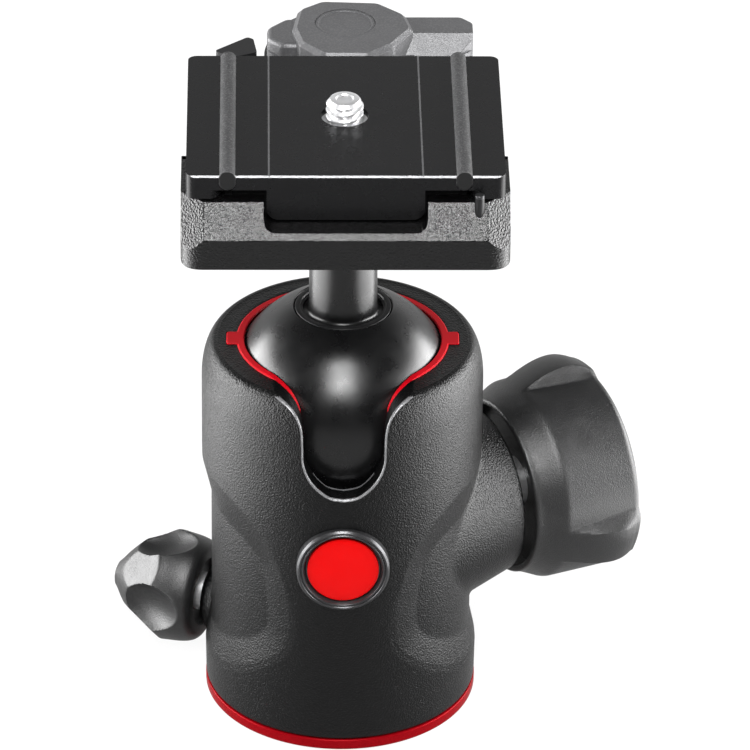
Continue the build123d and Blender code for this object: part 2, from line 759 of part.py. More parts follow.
def tongue_window(z0):
    half = cutout_half_width
    window = block(-half, half, clamp_front_y - 2, dovetail_front_y + 4, z0, clamp_wall_z + 2)
    return fillet(window.edges().filter_by(Axis.Y).group_by(Axis.Z)[0], cutout_corner_r)


def clamp_bolt():
    low = clamp_floor_z - clamp_bolt_head - 0.2
    body = disc(clamp_bolt_head_r, low, low + clamp_bolt_head)
    body += disc(clamp_bolt_r, low - clamp_bolt_length, low + 0.1)
    return body - extrude(Pos(0, 0, low + 1.2) * RegularPolygon(2.9, 6), amount=4)


def stop_pin():
    foot_z = clamp_slope_z - stop_pin_depth
    pin = disc(stop_pin_r, foot_z + fit_gap, stop_pin_top_z, stop_pin_x, stop_pin_y)
    return fillet(pin.faces().sort_by(Axis.Z)[-1].edges(), stop_pin_r / 3)


def trip_pin():
    """Sprung pin under the plate that sets off the lever."""
    body = disc(trip_r, clamp_floor_z - trip_length, clamp_floor_z, 0, trip_y)
    return chamfer(body.faces().sort_by(Axis.Z)[-1].edges(), 0.4)


def trip_spring():
    low = trip_seat_z + fit_gap
    return tube(trip_r - 1.4, trip_r - 0.4, low, clamp_floor_z - trip_length - seat_gap, 0, trip_y)


# ================================ lever and catch ================================

def lever():
    """Die-cast lever: hub with a bevelled top, long arm, short stub and the eccentric cam below."""
    hub_low = deck_gap_z
    hub = extrude(Pos(lever_x, lever_y, hub_low) * Rot(0, 0, 22.5) * RegularPolygon(lever_hub_r, 8),
                  amount=lever_top_z - hub_low)
    hub = fillet(hub.edges().filter_by(Axis.Z), 2.0)
    hub = chamfer(hub.faces().sort_by(Axis.Z)[-1].edges(), lever_hub_chamfer)
    arm = block(lever_x, lever_arm_x, lever_arm_front_y, lever_arm_rear_y, hub_low, lever_arm_top_z)
    arm = fillet(arm.edges().filter_by(Axis.Z).group_by(Axis.X)[-1], 3.0)
    arm = chamfer(arm.faces().sort_by(Axis.Z)[-1].edges().filter_by(Axis.X).sort_by(Axis.Y)[0],
                  lever_arm_slope, lever_arm_slope * 0.8)
    stub = block(lever_stub_x, lever_x, lever_stub_front_y, lever_stub_rear_y, hub_low, lever_arm_top_z)
    stub = fillet(stub.edges().filter_by(Axis.Z).group_by(Axis.X)[0], 3.4)
    phase = radians(-90 + cam_phase)
    cam_x = lever_x + cam_throw * cos(phase)
    cam_y = lever_y + cam_throw * sin(phase)
    cam = disc(cam_r, cam_z, hub_low + 0.1, cam_x, cam_y)
    skirt = disc(lever_skirt_r, hub_low, hub_low + lever_skirt_height, lever_x, lever_y)
    body = hub + arm + stub + cam + chamfer(skirt.faces().sort_by(Axis.Z)[-1].edges(), 0.6)
    body -= disc(pivot_r + run_gap, cam_z - 1, lever_top_z, lever_x, lever_y)
    seat_z = lever_top_z - pivot_sink - pivot_head - 0.1
    body -= disc(pivot_head_r + run_gap, seat_z, lever_top_z + 1, lever_x, lever_y)
    return body


def lever_pivot():
    top = lever_top_z - pivot_sink
    body = disc(pivot_r, clamp_z + 1.6, top - 0.1, lever_x, lever_y)
    return body + disc(pivot_head_r, top - pivot_head, top, lever_x, lever_y)


def lever_cap():
    """Plain round cap over the pivot's head, fixed in the lever."""
    low = lever_top_z - pivot_sink + seat_gap
    return disc(pivot_head_r + run_gap - fit_gap, low, lever_top_z - 0.1, lever_x, lever_y)


def lever_spring():
    """Torsion spring round the pivot, closed up into one wound sleeve."""
    low = spring_seat_z + seat_gap
    coils = [Pos(lever_x, lever_y, low + spring_wire_r * (2 * n + 1)) * Torus(spring_coil_r, spring_wire_r)
             for n in range(spring_turns)]
    sleeve = tube(spring_coil_r - 0.15, spring_coil_r + 0.15, low + spring_wire_r,
                  low + spring_wire_r * (2 * spring_turns - 1), lever_x, lever_y)
    for coil in coils:
        sleeve += coil
    return sleeve


def safety_catch():
    """Flat tab on an upright pin, beside the end of the lever's stub."""
    low = catch_top_z - catch_thickness
    tab = make_face(Polyline(*catch_corners, close=True))
    tab = extrude(Pos(0, 0, low) * tab, amount=catch_thickness)
    tab = fillet(tab.edges().filter_by(Axis.Z), 0.6)
    post = disc(catch_post_r, deck_gap_z, low + 0.1, catch_x, catch_y)
    pin = disc(catch_pin_r, clamp_z + 2.2, low, catch_x, catch_y)
    return tab + post + pin


# ================================ quick-release plate ================================

def plate():
    half_x, half_y = plate_x / 2, plate_y / 2
    slab_z = plate_z - plate_slab
    body = block(-half_x, half_x, -half_y, half_y, slab_z, plate_z)
    for side in (-1, 1):
        inner = side * (half_x - plate_end_block)
        outer = side * half_x
        low = plate_z - plate_end_drop
        body += block(min(inner, outer), max(inner, outer), -half_y, half_y, low, slab_z + 0.1)
    body = fillet(body.edges().filter_by(Axis.Z), plate_corner_r)
    tongue = block(-tongue_half_width, tongue_half_width, -half_y, 0, dovetail_bottom_z, slab_z + 0.1)
    body += fillet(tongue.edges().filter_by(Axis.Y).group_by(Axis.Z)[0], cutout_corner_r)
    lean = dovetail_slope
    tail = make_face(Polyline((dovetail_front_y, dovetail_bottom_z), (dovetail_rear_y, dovetail_bottom_z),
                              (dovetail_rear_y - lean, slab_z + 0.1),
                              (dovetail_front_y + lean, slab_z + 0.1), close=True))
    body += extrude(Plane.YZ * tail, amount=dovetail_half_width, both=True)
    for side in (-1, 1):
        body -= strip_shape(side)
    body -= disc(screw_r + run_gap, dovetail_bottom_z, plate_z + 1)
    body -= disc(screw_head_r + 0.5, dovetail_bottom_z - 1, dovetail_bottom_z + screw_head + 0.8)
    body -= disc(screw_well_r, plate_z - screw_well_depth, plate_z + 1)
    return body


def strip_shape(side):
    """One rubber strip with rounded edges, along the whole depth of the plate."""
    section = SlotOverall(strip_height, strip_width, rotation=90)
    face = Plane.XZ * Pos(side * strip_x, plate_z + strip_proud - strip_height / 2) * section
    return extrude(face, amount=plate_y / 2, both=True)


def rubber_strips():
    return Compound([strip_shape(side).solid() for side in (-1, 1)])


def camera_screw():
    """Captive camera screw: slotted head under the plate, thread above it."""
    low = dovetail_bottom_z + 0.4
    body = disc(screw_r, low, screw_top_z)
    body = chamfer(body.faces().sort_by(Axis.Z)[-1].edges(), 0.5)
    body += disc(screw_head_r, low, low + screw_head)
    half = screw_slot / 2
    body -= block(-screw_head_r, screw_head_r, -half, half, low - 1, low + screw_slot_depth)
    groove_z = plate_z - screw_well_depth + 0.1
    return body - tube(screw_r - 0.4, screw_r + 1, groove_z, groove_z + clip_thickness + 0.1)


def screw_clip():
    """Retaining clip in the screw's groove, resting in the well of the plate."""
    low = plate_z - screw_well_depth + 0.15
    return tube(screw_r - 0.35, screw_well_r - 0.4, low, low + clip_thickness)


pieces = {
    "base_disc": base_disc(),
    "base_ring": base_ring(),
    "pan_spindle": pan_spindle(),
    "thread_insert": thread_insert(),
    "base_screws": Compound([(spot * base_screw()).solid() for spot in base_screw_spots()]),
    "spindle_retainer": spindle_retainer(),
    "retainer_screw": retainer_screw(),
    "pan_washer": pan_washer(),
    "housing": housing(),
    "upper_seat": upper_seat(),
    "bearing_ring": bearing_ring(),
    "badge_bezel": badge_bezel(),
    "badge_disc": badge_disc(),
    "lock_bush": lock_bush(),
    "pan_bush": pan_bush(),
    "lock_plunger": lock_plunger(),
    "lock_spindle": lock_spindle(),
    "lock_knob": lock_knob(),
    "knob_screw": knob_screw(),
    "knob_cap": knob_cap(),
    "pan_pad": pan_pad(),
    "pan_screw": pan_screw(),
    "pan_knob": pan_knob(),
    "ball_cup": ball_cup(),
    "cup_pad": cup_pad(),
    "ball": ball(),
    "stem_collar": stem_collar(),
    "clamp_body": clamp_body(),
    "clamp_bolt": clamp_bolt(),
    "stop_pin": stop_pin(),
    "trip_pin": trip_pin(),
    "trip_spring": trip_spring(),
    "lever": lever(),
    "lever_pivot": lever_pivot(),
    "lever_cap": lever_cap(),
    "lever_spring": lever_spring(),
    "safety_catch": safety_catch(),
    "plate": plate(),
    "rubber_strips": rubber_strips(),
    "camera_screw": camera_screw(),
    "screw_clip": screw_clip(),
}

os.makedirs("parts", exist_ok=True)
for name, piece in pieces.items():
    export_step(piece, f"parts/{name}.step")
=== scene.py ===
# %% [markdown]
# # A tripod ball head
# The solids of the head come in as a fixed frame, each in its place and at its real size.
# This lesson gives them their looks: camera and light first, then the finishes, then the
# pieces whose cast and moulded shapes are modelled here. Blender counts in metres. The pieces
# are written in millimetres, and MM turns one into the other.

# %% Load the frame
import json
import math
import bpy
import numpy as np
from mathutils import Matrix, Vector


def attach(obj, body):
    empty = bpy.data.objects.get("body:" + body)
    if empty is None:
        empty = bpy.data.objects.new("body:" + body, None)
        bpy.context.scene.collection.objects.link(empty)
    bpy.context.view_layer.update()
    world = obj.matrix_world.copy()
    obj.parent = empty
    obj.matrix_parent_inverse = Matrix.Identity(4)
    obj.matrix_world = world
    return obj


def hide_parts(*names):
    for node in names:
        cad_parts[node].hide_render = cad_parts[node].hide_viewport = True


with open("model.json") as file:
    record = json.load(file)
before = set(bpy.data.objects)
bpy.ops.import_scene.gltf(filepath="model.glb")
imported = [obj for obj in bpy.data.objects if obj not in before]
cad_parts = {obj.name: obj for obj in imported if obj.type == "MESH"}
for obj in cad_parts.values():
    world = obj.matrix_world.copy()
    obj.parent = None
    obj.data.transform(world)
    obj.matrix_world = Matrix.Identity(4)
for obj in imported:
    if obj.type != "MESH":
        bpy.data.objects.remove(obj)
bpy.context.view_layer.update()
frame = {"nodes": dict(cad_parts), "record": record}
MM = 0.001
nodes = frame["nodes"]

# %% [markdown]
# ## Camera
# The head is seen from the front and from above, through a long lens, so that its upright
# lines hardly lean. The camera could be turned by three angles on its object; building the
# turn from the three directions of the view shows what each of them does.

# %% Camera
camera_height = 617.186 * MM
camera_distance = 945.425 * MM
camera_side = -14.406 * MM
pitch = math.radians(30.46)
yaw = math.radians(1.209)
roll = math.radians(0.645)
lens_mm = 308.84

ahead = Vector((math.sin(yaw) * math.cos(pitch), math.cos(yaw) * math.cos(pitch),
                -math.sin(pitch)))
level_right = ahead.cross(Vector((0, 0, 1))).normalized()
level_up = level_right.cross(ahead)
right = math.cos(roll) * level_right + math.sin(roll) * level_up
up = math.cos(roll) * level_up - math.sin(roll) * level_right
camera_data = bpy.data.cameras.new("camera")
camera_data.lens = lens_mm
camera_data.sensor_width = 36.0
camera_data.clip_start = 0.05
camera_data.clip_end = 20.0
camera = bpy.data.objects.new("camera", camera_data)
bpy.context.scene.collection.objects.link(camera)
turn = Matrix((right, up, -ahead)).transposed()
place = Matrix.Translation((camera_side, -camera_distance, camera_height))
camera.matrix_world = place @ turn.to_4x4()
bpy.context.scene.camera = camera
print("camera at", [round(c, 3) for c in camera.location])

# %% [markdown]
# ## Lamps
# Black coated metal is drawn by its highlights, so the lamps are wide soft boxes. One on each
# side gives the bright shoulders of the drum, and two in front and above light the ball and
# the sloping front of the clamp. Two faint panels lie on the table beside the head and light
# the flanks that look down. They are hidden from the camera.

# %% Lamps
def soft_box(name, place, size, watts, aim=(0, 0, 0.06)):
    """A rectangular area lamp that looks at a point of the head."""
    data = bpy.data.lights.new(name, "AREA")
    data.shape = "RECTANGLE"
    data.size, data.size_y = size
    data.energy = watts
    lamp = bpy.data.objects.new(name, data)
    bpy.context.scene.collection.objects.link(lamp)
    lamp.location = place
    lamp.rotation_mode = "QUATERNION"
    lamp.rotation_quaternion = (Vector(place) - Vector(aim)).to_track_quat("Z", "Y")
    return lamp


for name, side in (("box_left", -1), ("box_right", 1)):
    soft_box(name, (side * 0.42, 0.05, 0.125), (0.52, 0.24), 6.2)
soft_box("box_front", (-0.03, -0.68, 0.70), (0.36, 0.30), 7.4)
soft_box("box_high", (-0.02, -0.42, 0.95), (0.30, 0.22), 9.0)
for side in (-1, 1):
    panel = soft_box("panel", (side * 0.215, -0.01, 0.002), (0.26, 0.18), 0.9,
                     aim=(side * 0.215, -0.01, 1.0))
    panel.visible_camera = False

# %% [markdown]
# ## World and floor
# World and floor are both built from nodes, and both ask which kind of ray is looking. A few
# helpers make the nodes that repeat: one reckons with two values, one is a ramp, one mixes
# two shaders, and one tells the camera's rays from the others.

# %% Helpers for nodes
def math_node(tree, operation, first, second):
    """A Math node on two values, each a socket or a plain number."""
    node = tree.nodes.new("ShaderNodeMath")
    node.operation = operation
    for socket, value in zip(node.inputs, (first, second)):
        if isinstance(value, float):
            socket.default_value = value
        else:
            tree.links.new(value, socket)
    return node.outputs[0]


def ramp(tree, value, low, high, start=0.0, end=1.0, curve="LINEAR"):
    """A Map Range node: from low to high while the value goes from start to end."""
    node = tree.nodes.new("ShaderNodeMapRange")
    node.interpolation_type = curve
    numbers = {"From Min": start, "From Max": end, "To Min": low, "To Max": high}
    for socket, number in numbers.items():
        node.inputs[socket].default_value = number
    tree.links.new(value, node.inputs["Value"])
    return node.outputs["Result"]


def mix_shaders(tree, share, first, second):
    """A Mix Shader node that goes from the first shader to the second."""
    node = tree.nodes.new("ShaderNodeMixShader")
    for socket, value in zip(node.inputs, (share, first, second)):
        tree.links.new(value, socket)
    return node.outputs[0]


def looking_rays(tree):
    """The camera's rays alone, and these together with the rays of mirrors and glass."""
    rays = tree.nodes.new("ShaderNodeLightPath").outputs
    seen = math_node(tree, "MAXIMUM", rays["Is Camera Ray"], rays["Is Glossy Ray"])
    return rays["Is Camera Ray"], math_node(tree, "MAXIMUM", seen, rays["Is Transmission Ray"])


print("node helpers ready")

# %% [markdown]
# To the light on the head, the world is a weak even grey. To the camera and to shiny pieces
# it is a pale backdrop, which fades out overhead and towards the front, so that a black
# piece mirrors a light wall behind it and darkness above.

# %% World
WORLD_LEVEL = 0.15
world = bpy.data.worlds.new("even_grey")
bpy.context.scene.world = world
world.use_nodes = True
tree = world.node_tree
even = tree.nodes["Background"]
even.inputs["Color"].default_value = (1, 1, 1, 1)
even.inputs["Strength"].default_value = WORLD_LEVEL
heading = tree.nodes.new("ShaderNodeTexCoord")
axes = tree.nodes.new("ShaderNodeSeparateXYZ")
tree.links.new(heading.outputs["Generated"], axes.inputs[0])
behind = ramp(tree, axes.outputs["Y"], 0.0, 1.0, -0.15, 0.75, "SMOOTHSTEP")
not_overhead = ramp(tree, axes.outputs["Z"], 1.0, 0.1, 0.22, 0.72, "SMOOTHSTEP")
wall = math_node(tree, "MULTIPLY", behind, not_overhead)
camera_rays, seen_rays = looking_rays(tree)
backdrop = tree.nodes.new("ShaderNodeBackground")
backdrop.inputs["Color"].default_value = (0.8, 0.8, 0.8, 1)
tree.links.new(math_node(tree, "MAXIMUM", wall, camera_rays), backdrop.inputs["Strength"])
sky = mix_shaders(tree, seen_rays, even.outputs[0], backdrop.outputs[0])
tree.links.new(sky, tree.nodes["World Output"].inputs["Surface"])
print("world", world.name)

# %% [markdown]
# The floor is a pale matt sheet that keeps the shadow at the foot of the head. A share of
# its own glow makes it white to the camera. Shiny pieces mirror that glow at less than half
# strength, because a black finish over a full white floor would turn grey.

# %% Floor
GLOW_SHARE, MIRRORED_GLOW = 0.88, 0.42
bpy.ops.object.select_all(action="DESELECT")
bpy.ops.mesh.primitive_plane_add(size=6.0, location=(0, 0, -0.0002))
floor = bpy.context.object
floor.name = "floor"
floor_look = bpy.data.materials.new("floor_white")
floor_look.use_nodes = True
tree = floor_look.node_tree
tree.nodes.clear()
lit = tree.nodes.new("ShaderNodeBsdfDiffuse")
lit.inputs["Color"].default_value = (0.8, 0.8, 0.8, 1)
glow = tree.nodes.new("ShaderNodeEmission")
glow.inputs["Color"].default_value = (1, 1, 1, 1)
camera_rays, seen_rays = looking_rays(tree)
tree.links.new(ramp(tree, camera_rays, MIRRORED_GLOW, 1.0), glow.inputs["Strength"])
share = math_node(tree, "MULTIPLY", seen_rays, GLOW_SHARE)
sheet = mix_shaders(tree, share, lit.outputs[0], glow.outputs[0])
out = tree.nodes.new("ShaderNodeOutputMaterial")
tree.links.new(sheet, out.inputs["Surface"])
floor.data.materials.append(floor_look)
bpy.context.scene.view_settings.view_transform = "Standard"
print("floor", floor.name)

# %% [markdown]
# ## Finishes
# Every finish is one Principled shader whose bump and colour come from noise on object
# coordinates, so a grain keeps its real size on each piece. A picture of the coat would need
# every piece unwrapped, and would stretch on the rounded corners. The grain and the mottling
# are given in millimetres and turned into texture scales.

# %% A maker of finishes
PEAKS_FROM, PEAKS_TO = 0.48, 0.66
SHEEN_ROUGHNESS = 0.32
looks = {}


def noise(tree, place, size_mm, detail):
    """A noise texture on object coordinates whose lumps have a size in millimetres."""
    node = tree.nodes.new("ShaderNodeTexNoise")
    node.inputs["Scale"].default_value = 1.0 / (size_mm * MM)
    node.inputs["Detail"].default_value = detail
    tree.links.new(place.outputs["Object"], node.inputs["Vector"])
    return node.outputs["Fac"]


def mix_colours(tree, factor, first, second):
    """A mix from the first to the second of two colours, each a socket or a plain colour."""
    node = tree.nodes.new("ShaderNodeMix")
    node.data_type = "RGBA"
    tree.links.new(factor, node.inputs["Factor"])
    for socket, value in (("A", first), ("B", second)):
        if isinstance(value, list):
            node.inputs[socket].default_value = (*value, 1)
        else:
            tree.links.new(value, node.inputs[socket])
    return node.outputs["Result"]


def finish(name, colour, rough, metal=0.0, grain_mm=0.4, grain_depth_mm=0.02,
           grain_strength=0.5, mottle=0.25, mottle_mm=3.0, shine=0.5, rough_swing=0.08,
           sheen=0.0, dust_and_glint=0.0):
    """A procedural finish: fine grain as bump, slow mottling of colour and roughness."""
    material = bpy.data.materials.new(name)
    material.use_nodes = True
    tree = material.node_tree
    shader = tree.nodes["Principled BSDF"]
    constants = {"Metallic": metal, "Specular IOR Level": shine, "Sheen Weight": sheen,
                 "Sheen Roughness": SHEEN_ROUGHNESS}
    for socket, number in constants.items():
        shader.inputs[socket].default_value = number
    place = tree.nodes.new("ShaderNodeTexCoord")
    slow = noise(tree, place, mottle_mm, 3.0)
    fine = noise(tree, place, grain_mm, 2.0)
    dark = [c * (1 - mottle) for c in colour]
    light = [min(1.0, c * (1 + mottle)) for c in colour]
    # The peaks of the fine grain get a lighter colour: painted glints on the coats and the lever,
    # and dust on the rubber.
    dust_and_glint_colour = [min(1.0, c + dust_and_glint) for c in colour]
    mottled = mix_colours(tree, slow, dark, light)
    peaks = ramp(tree, fine, 0.0, 1.0, PEAKS_FROM, PEAKS_TO)
    tree.links.new(mix_colours(tree, peaks, mottled, dust_and_glint_colour), shader.inputs["Base Color"])
    swing = ramp(tree, slow, rough - rough_swing, rough + rough_swing)
    tree.links.new(swing, shader.inputs["Roughness"])
    bump = tree.nodes.new("ShaderNodeBump")
    bump.inputs["Strength"].default_value = grain_strength
    bump.inputs["Distance"].default_value = grain_depth_mm * MM
    tree.links.new(fine, bump.inputs["Height"])
    tree.links.new(bump.outputs["Normal"], shader.inputs["Normal"])
    looks[name] = material


print("peaks of the grain above", PEAKS_FROM)

# %% [markdown]
# The housing, the clamp and the knobs wear a black coat with a leathery grain. Its colour is
# nearly black, and what is seen of it is gloss on the bumps, with a lighter colour on the
# peaks of the grain as painted glints: the clamp's coat is glossier, the knobs' grain is finer.
# On some edges a lighter grey metal shows, partly wear and partly a painted highlight.

# %% Black coats, and edges with wear and a painted highlight
finish("black_coat", (0.0008, 0.0008, 0.0009), 0.31, grain_mm=0.29, grain_depth_mm=0.16,
       grain_strength=1.0, mottle=0.3, mottle_mm=2.0, shine=0.26, dust_and_glint=0.0012,
       rough_swing=0.05)
finish("clamp_coat", (0.0008, 0.0008, 0.0009), 0.24, grain_mm=0.34, grain_depth_mm=0.14,
       grain_strength=1.0, mottle=0.3, mottle_mm=2.0, shine=0.44, dust_and_glint=0.003,
       rough_swing=0.05)
finish("knob_black", (0.006, 0.006, 0.0062), 0.38, grain_mm=0.20, grain_depth_mm=0.06,
       grain_strength=1.0, mottle=0.2, shine=0.52, dust_and_glint=0.008)
finish("satin_black", (0.002, 0.002, 0.0022), 0.29, grain_mm=0.16, grain_depth_mm=0.012,
       grain_strength=0.8, mottle=0.2, shine=0.50, sheen=0.01)
finish("plate_black", (0.004, 0.004, 0.0043), 0.27, grain_mm=0.2, grain_depth_mm=0.008,
       grain_strength=0.4, mottle=0.15, shine=0.20, rough_swing=0.04)
# A lighter grey metal for edges and seams: partly rubbed-off coat, partly a painted highlight along
# them.
finish("worn_edge_painted_highlight", (0.13, 0.13, 0.134), 0.34, metal=0.4, grain_mm=0.42, grain_depth_mm=0.10,
       grain_strength=0.8, mottle=0.5, mottle_mm=1.5, shine=0.5)
print("black finishes", list(looks))

# %% [markdown]
# The other pieces are plain metals and plastics. The reds keep almost no green and blue and
# little gloss, because a white highlight over them would turn them pink.

# %% Reds, metals and plastics
finish("red_anodised", (0.155, 0.001, 0.003), 0.3, metal=0.2, grain_mm=0.3,
       grain_depth_mm=0.01, mottle=0.08, shine=0.03)
finish("red_plastic", (0.45, 0.002, 0.008), 0.4, grain_mm=0.3, grain_depth_mm=0.01,
       mottle=0.08, shine=0.15)
finish("badge_red", (0.35, 0.001, 0.0012), 0.25, grain_mm=1.2, grain_depth_mm=0.004,
       grain_strength=0.3, mottle=0.05, shine=0.05, rough_swing=0.03)
finish("bright_rim", (0.05, 0.05, 0.052), 0.30, metal=0.8, grain_mm=0.3,
       grain_depth_mm=0.02, mottle=0.15)
finish("lever_grey", (0.085, 0.085, 0.088), 0.42, metal=0.35, grain_mm=0.28,
       grain_depth_mm=0.07, grain_strength=0.8, mottle=0.12, shine=0.4, dust_and_glint=0.03)
finish("strip_rubber", (0.026, 0.026, 0.027), 0.6, grain_mm=0.30, grain_depth_mm=0.10,
       grain_strength=1.0, mottle=0.35, shine=0.35, dust_and_glint=0.05)
finish("black_plastic", (0.008, 0.008, 0.0085), 0.35, grain_mm=0.3, grain_depth_mm=0.02,
       mottle=0.2, shine=0.25)
finish("steel", (0.80, 0.80, 0.81), 0.36, metal=0.85, grain_mm=0.4, grain_depth_mm=0.01,
       mottle=0.12)
finish("nylon", (0.72, 0.71, 0.66), 0.5, grain_mm=0.6, mottle=0.05)
finish("bronze", (0.50, 0.33, 0.15), 0.35, metal=1.0, grain_mm=0.3, mottle=0.2)
finish("aluminium", (0.66, 0.66, 0.68), 0.32, metal=1.0, grain_mm=0.4, mottle=0.1)
print("finishes", len(looks))

# %% [markdown]
# The frame's record says which finish each solid has, so one loop dresses them all. Most
# solids inside the head keep their shape and are done with this.

# %% Dress the solids
for part in frame["record"]["subparts"]:
    solid = nodes[part["node"]]
    solid.data.materials.clear()
    solid.data.materials.append(looks[part["material_slot"]])

# %% [markdown]
# ## Tools for modelling
# Every piece is a mesh that is shaped in edit mode, so a few small tools come first. An
# operator acts on all that is selected, so the first ones make a piece the only selected one
# and open its mesh with every point selected.

# %% Selecting
def wake(piece):
    """Makes one object the only selected one, in object mode."""
    if bpy.context.object and bpy.context.object.mode != "OBJECT":
        bpy.ops.object.mode_set(mode="OBJECT")
    bpy.ops.object.select_all(action="DESELECT")
    piece.select_set(True)
    bpy.context.view_layer.objects.active = piece


def open_mesh(piece):
    """Goes into edit mode on one piece, with all of its mesh selected."""
    wake(piece)
    bpy.ops.object.mode_set(mode="EDIT")
    bpy.ops.mesh.select_all(action="SELECT")


def close_mesh():
    """Goes back to object mode, which writes the edits to the mesh."""
    bpy.ops.object.mode_set(mode="OBJECT")


def tidy_mesh(piece, merge=0.002):
    """Merges doubled points and turns every face outwards."""
    open_mesh(piece)
    bpy.ops.mesh.remove_doubles(threshold=merge * MM)
    bpy.ops.mesh.normals_make_consistent(inside=False)
    close_mesh()


def join_flats(piece, merge=0.0):
    """Merges doubled points, and joins neighbouring faces that lie in one plane."""
    open_mesh(piece)
    if merge:
        bpy.ops.mesh.remove_doubles(threshold=merge * MM)
    bpy.ops.mesh.dissolve_limited(angle_limit=math.radians(0.5))
    close_mesh()


print("selecting ready")

# %% [markdown]
# A turned piece starts as half an outline and is spun; a cast or milled one starts as a flat
# outline and is pulled up. The corners of an outline are rounded before that, because a
# bevel on the finished mesh would treat every edge alike.

# %% Outlines, spins and slabs
def mesh_piece(name, points, edges=(), faces=()):
    """An object from points in millimetres."""
    mesh = bpy.data.meshes.new(name)
    mesh.from_pydata([[c * MM for c in point] for point in points], list(edges), list(faces))
    piece = bpy.data.objects.new(name, mesh)
    bpy.context.scene.collection.objects.link(piece)
    wake(piece)
    return piece


def soften(corners, radii, steps=4):
    """Rounds the corners of a closed flat outline, with one radius for each corner."""
    out = []
    for n, (corner, size) in enumerate(zip(corners, radii)):
        here = Vector(corner)
        back = Vector(corners[n - 1]) - here
        on = Vector(corners[(n + 1) % len(corners)]) - here
        if size == 0:
            out.append(tuple(here))
            continue
        reach = min(size / math.tan(back.angle(on) / 2), 0.49 * back.length, 0.49 * on.length)
        start, end = here + back.normalized() * reach, here + on.normalized() * reach
        for k in range(steps + 1):
            t = k / steps
            out.append(tuple((1 - t) ** 2 * start + 2 * t * (1 - t) * here + t ** 2 * end))
    return out


def spun(name, profile, steps=192, closed=True):
    """Spins a profile of (radius, height) pairs round the Z axis."""
    count = len(profile)
    edges = [(n, n + 1) for n in range(count - 1)] + ([(count - 1, 0)] if closed else [])
    piece = mesh_piece(name, [(radius, 0, height) for radius, height in profile], edges)
    open_mesh(piece)
    bpy.ops.mesh.spin(steps=steps, angle=math.tau, center=(0, 0, 0), axis=(0, 0, 1))
    close_mesh()
    tidy_mesh(piece)
    return piece


def pulled(name, points, way):
    """A flat face over some points, pulled along a way into a closed block."""
    piece = mesh_piece(name, points, [], [tuple(range(len(points)))])
    open_mesh(piece)
    bpy.ops.mesh.extrude_region_move(TRANSFORM_OT_translate={"value": [c * MM for c in way]})
    close_mesh()
    tidy_mesh(piece)
    return piece


def slab(name, outline, low, high):
    """A flat outline, filled and pulled up from one height to another."""
    return pulled(name, [(x, y, low) for x, y in outline], (0, 0, high - low))


def curve_through(points, steps=8):
    """A smooth line through flat points."""
    points = np.array(points, float)
    ends = np.vstack([2 * points[0] - points[1], points, 2 * points[-1] - points[-2]])
    out = []
    for n in range(1, len(ends) - 2):
        a, b, c, d = ends[n - 1:n + 3]
        for k in range(steps):
            t = k / steps
            out.append(0.5 * (2 * b + (c - a) * t + (2 * a - 5 * b + 4 * c - d) * t * t
                              + (3 * b - 3 * c + d - a) * t ** 3))
    out.append(points[-1])
    return np.array(out)


print("outlines ready")

# %% [markdown]
# Holes, slots and flats are cut with booleans and planes, as a mill would cut them. The
# tools for the cuts are plain blocks and rods, and each is used up by its cut.

# %% Cutters
def block(centre, size):
    """A block, given by its middle and its three lengths, as a tool for a cut."""
    bpy.ops.object.select_all(action="DESELECT")
    bpy.ops.mesh.primitive_cube_add(size=1, location=[c * MM for c in centre])
    tool = bpy.context.object
    tool.scale = [c * MM for c in size]
    bpy.ops.object.transform_apply(location=True, rotation=True, scale=True)
    return tool


def rod(centre, radius, length, sides, tilt=(0, 0, 0)):
    """A round bar, given by its middle, as a tool for a cut."""
    bpy.ops.object.select_all(action="DESELECT")
    bpy.ops.mesh.primitive_cylinder_add(vertices=sides, radius=radius * MM, depth=length * MM,
                                        location=[c * MM for c in centre], rotation=tilt)
    bpy.ops.object.transform_apply(location=True, rotation=True, scale=True)
    return bpy.context.object


def cut(piece, tool, operation="DIFFERENCE"):
    """Runs a boolean with a tool, which is used up."""
    wake(piece)
    modifier = piece.modifiers.new("cut", "BOOLEAN")
    modifier.operation = operation
    modifier.solver = "MANIFOLD"
    modifier.object = tool
    bpy.ops.object.modifier_apply(modifier=modifier.name)
    bpy.data.objects.remove(tool)


def slice_off(piece, point, normal):
    """Cuts a piece by a plane and closes the cut; what lies ahead of the normal goes."""
    open_mesh(piece)
    bpy.ops.mesh.bisect(plane_co=[c * MM for c in point], plane_no=normal, use_fill=True,
                        clear_outer=True, clear_inner=False, threshold=0.0001 * MM)
    close_mesh()


print("cutters ready")

# %% [markdown]
# Real edges are never sharp, so pieces get narrow bevels and are shaded smooth up to an
# angle. A piece that keeps the shape of its solid starts from a copy of it, whose triangles
# are merged first, because a bevel needs whole faces.

# %% Edges, shading and copies of solids
def soft_edges(piece, width, angle=40.0, segments=2):
    """Bevels the edges that are sharper than an angle."""
    wake(piece)
    bevel = piece.modifiers.new("edges", "BEVEL")
    bevel.width = width * MM
    bevel.segments = segments
    bevel.limit_method = "ANGLE"
    bevel.angle_limit = math.radians(angle)
    bevel.harden_normals = False
    bpy.ops.object.modifier_apply(modifier=bevel.name)
    return piece


def smooth(piece, angle, flats=False):
    """Smooth shading up to an angle; with flats, the large faces keep their own normals."""
    wake(piece)
    bpy.ops.object.shade_smooth_by_angle(angle=math.radians(angle))
    if flats:
        weighted = piece.modifiers.new("flats", "WEIGHTED_NORMAL")
        weighted.keep_sharp = True
        weighted.weight = 90
        bpy.ops.object.modifier_apply(modifier=weighted.name)


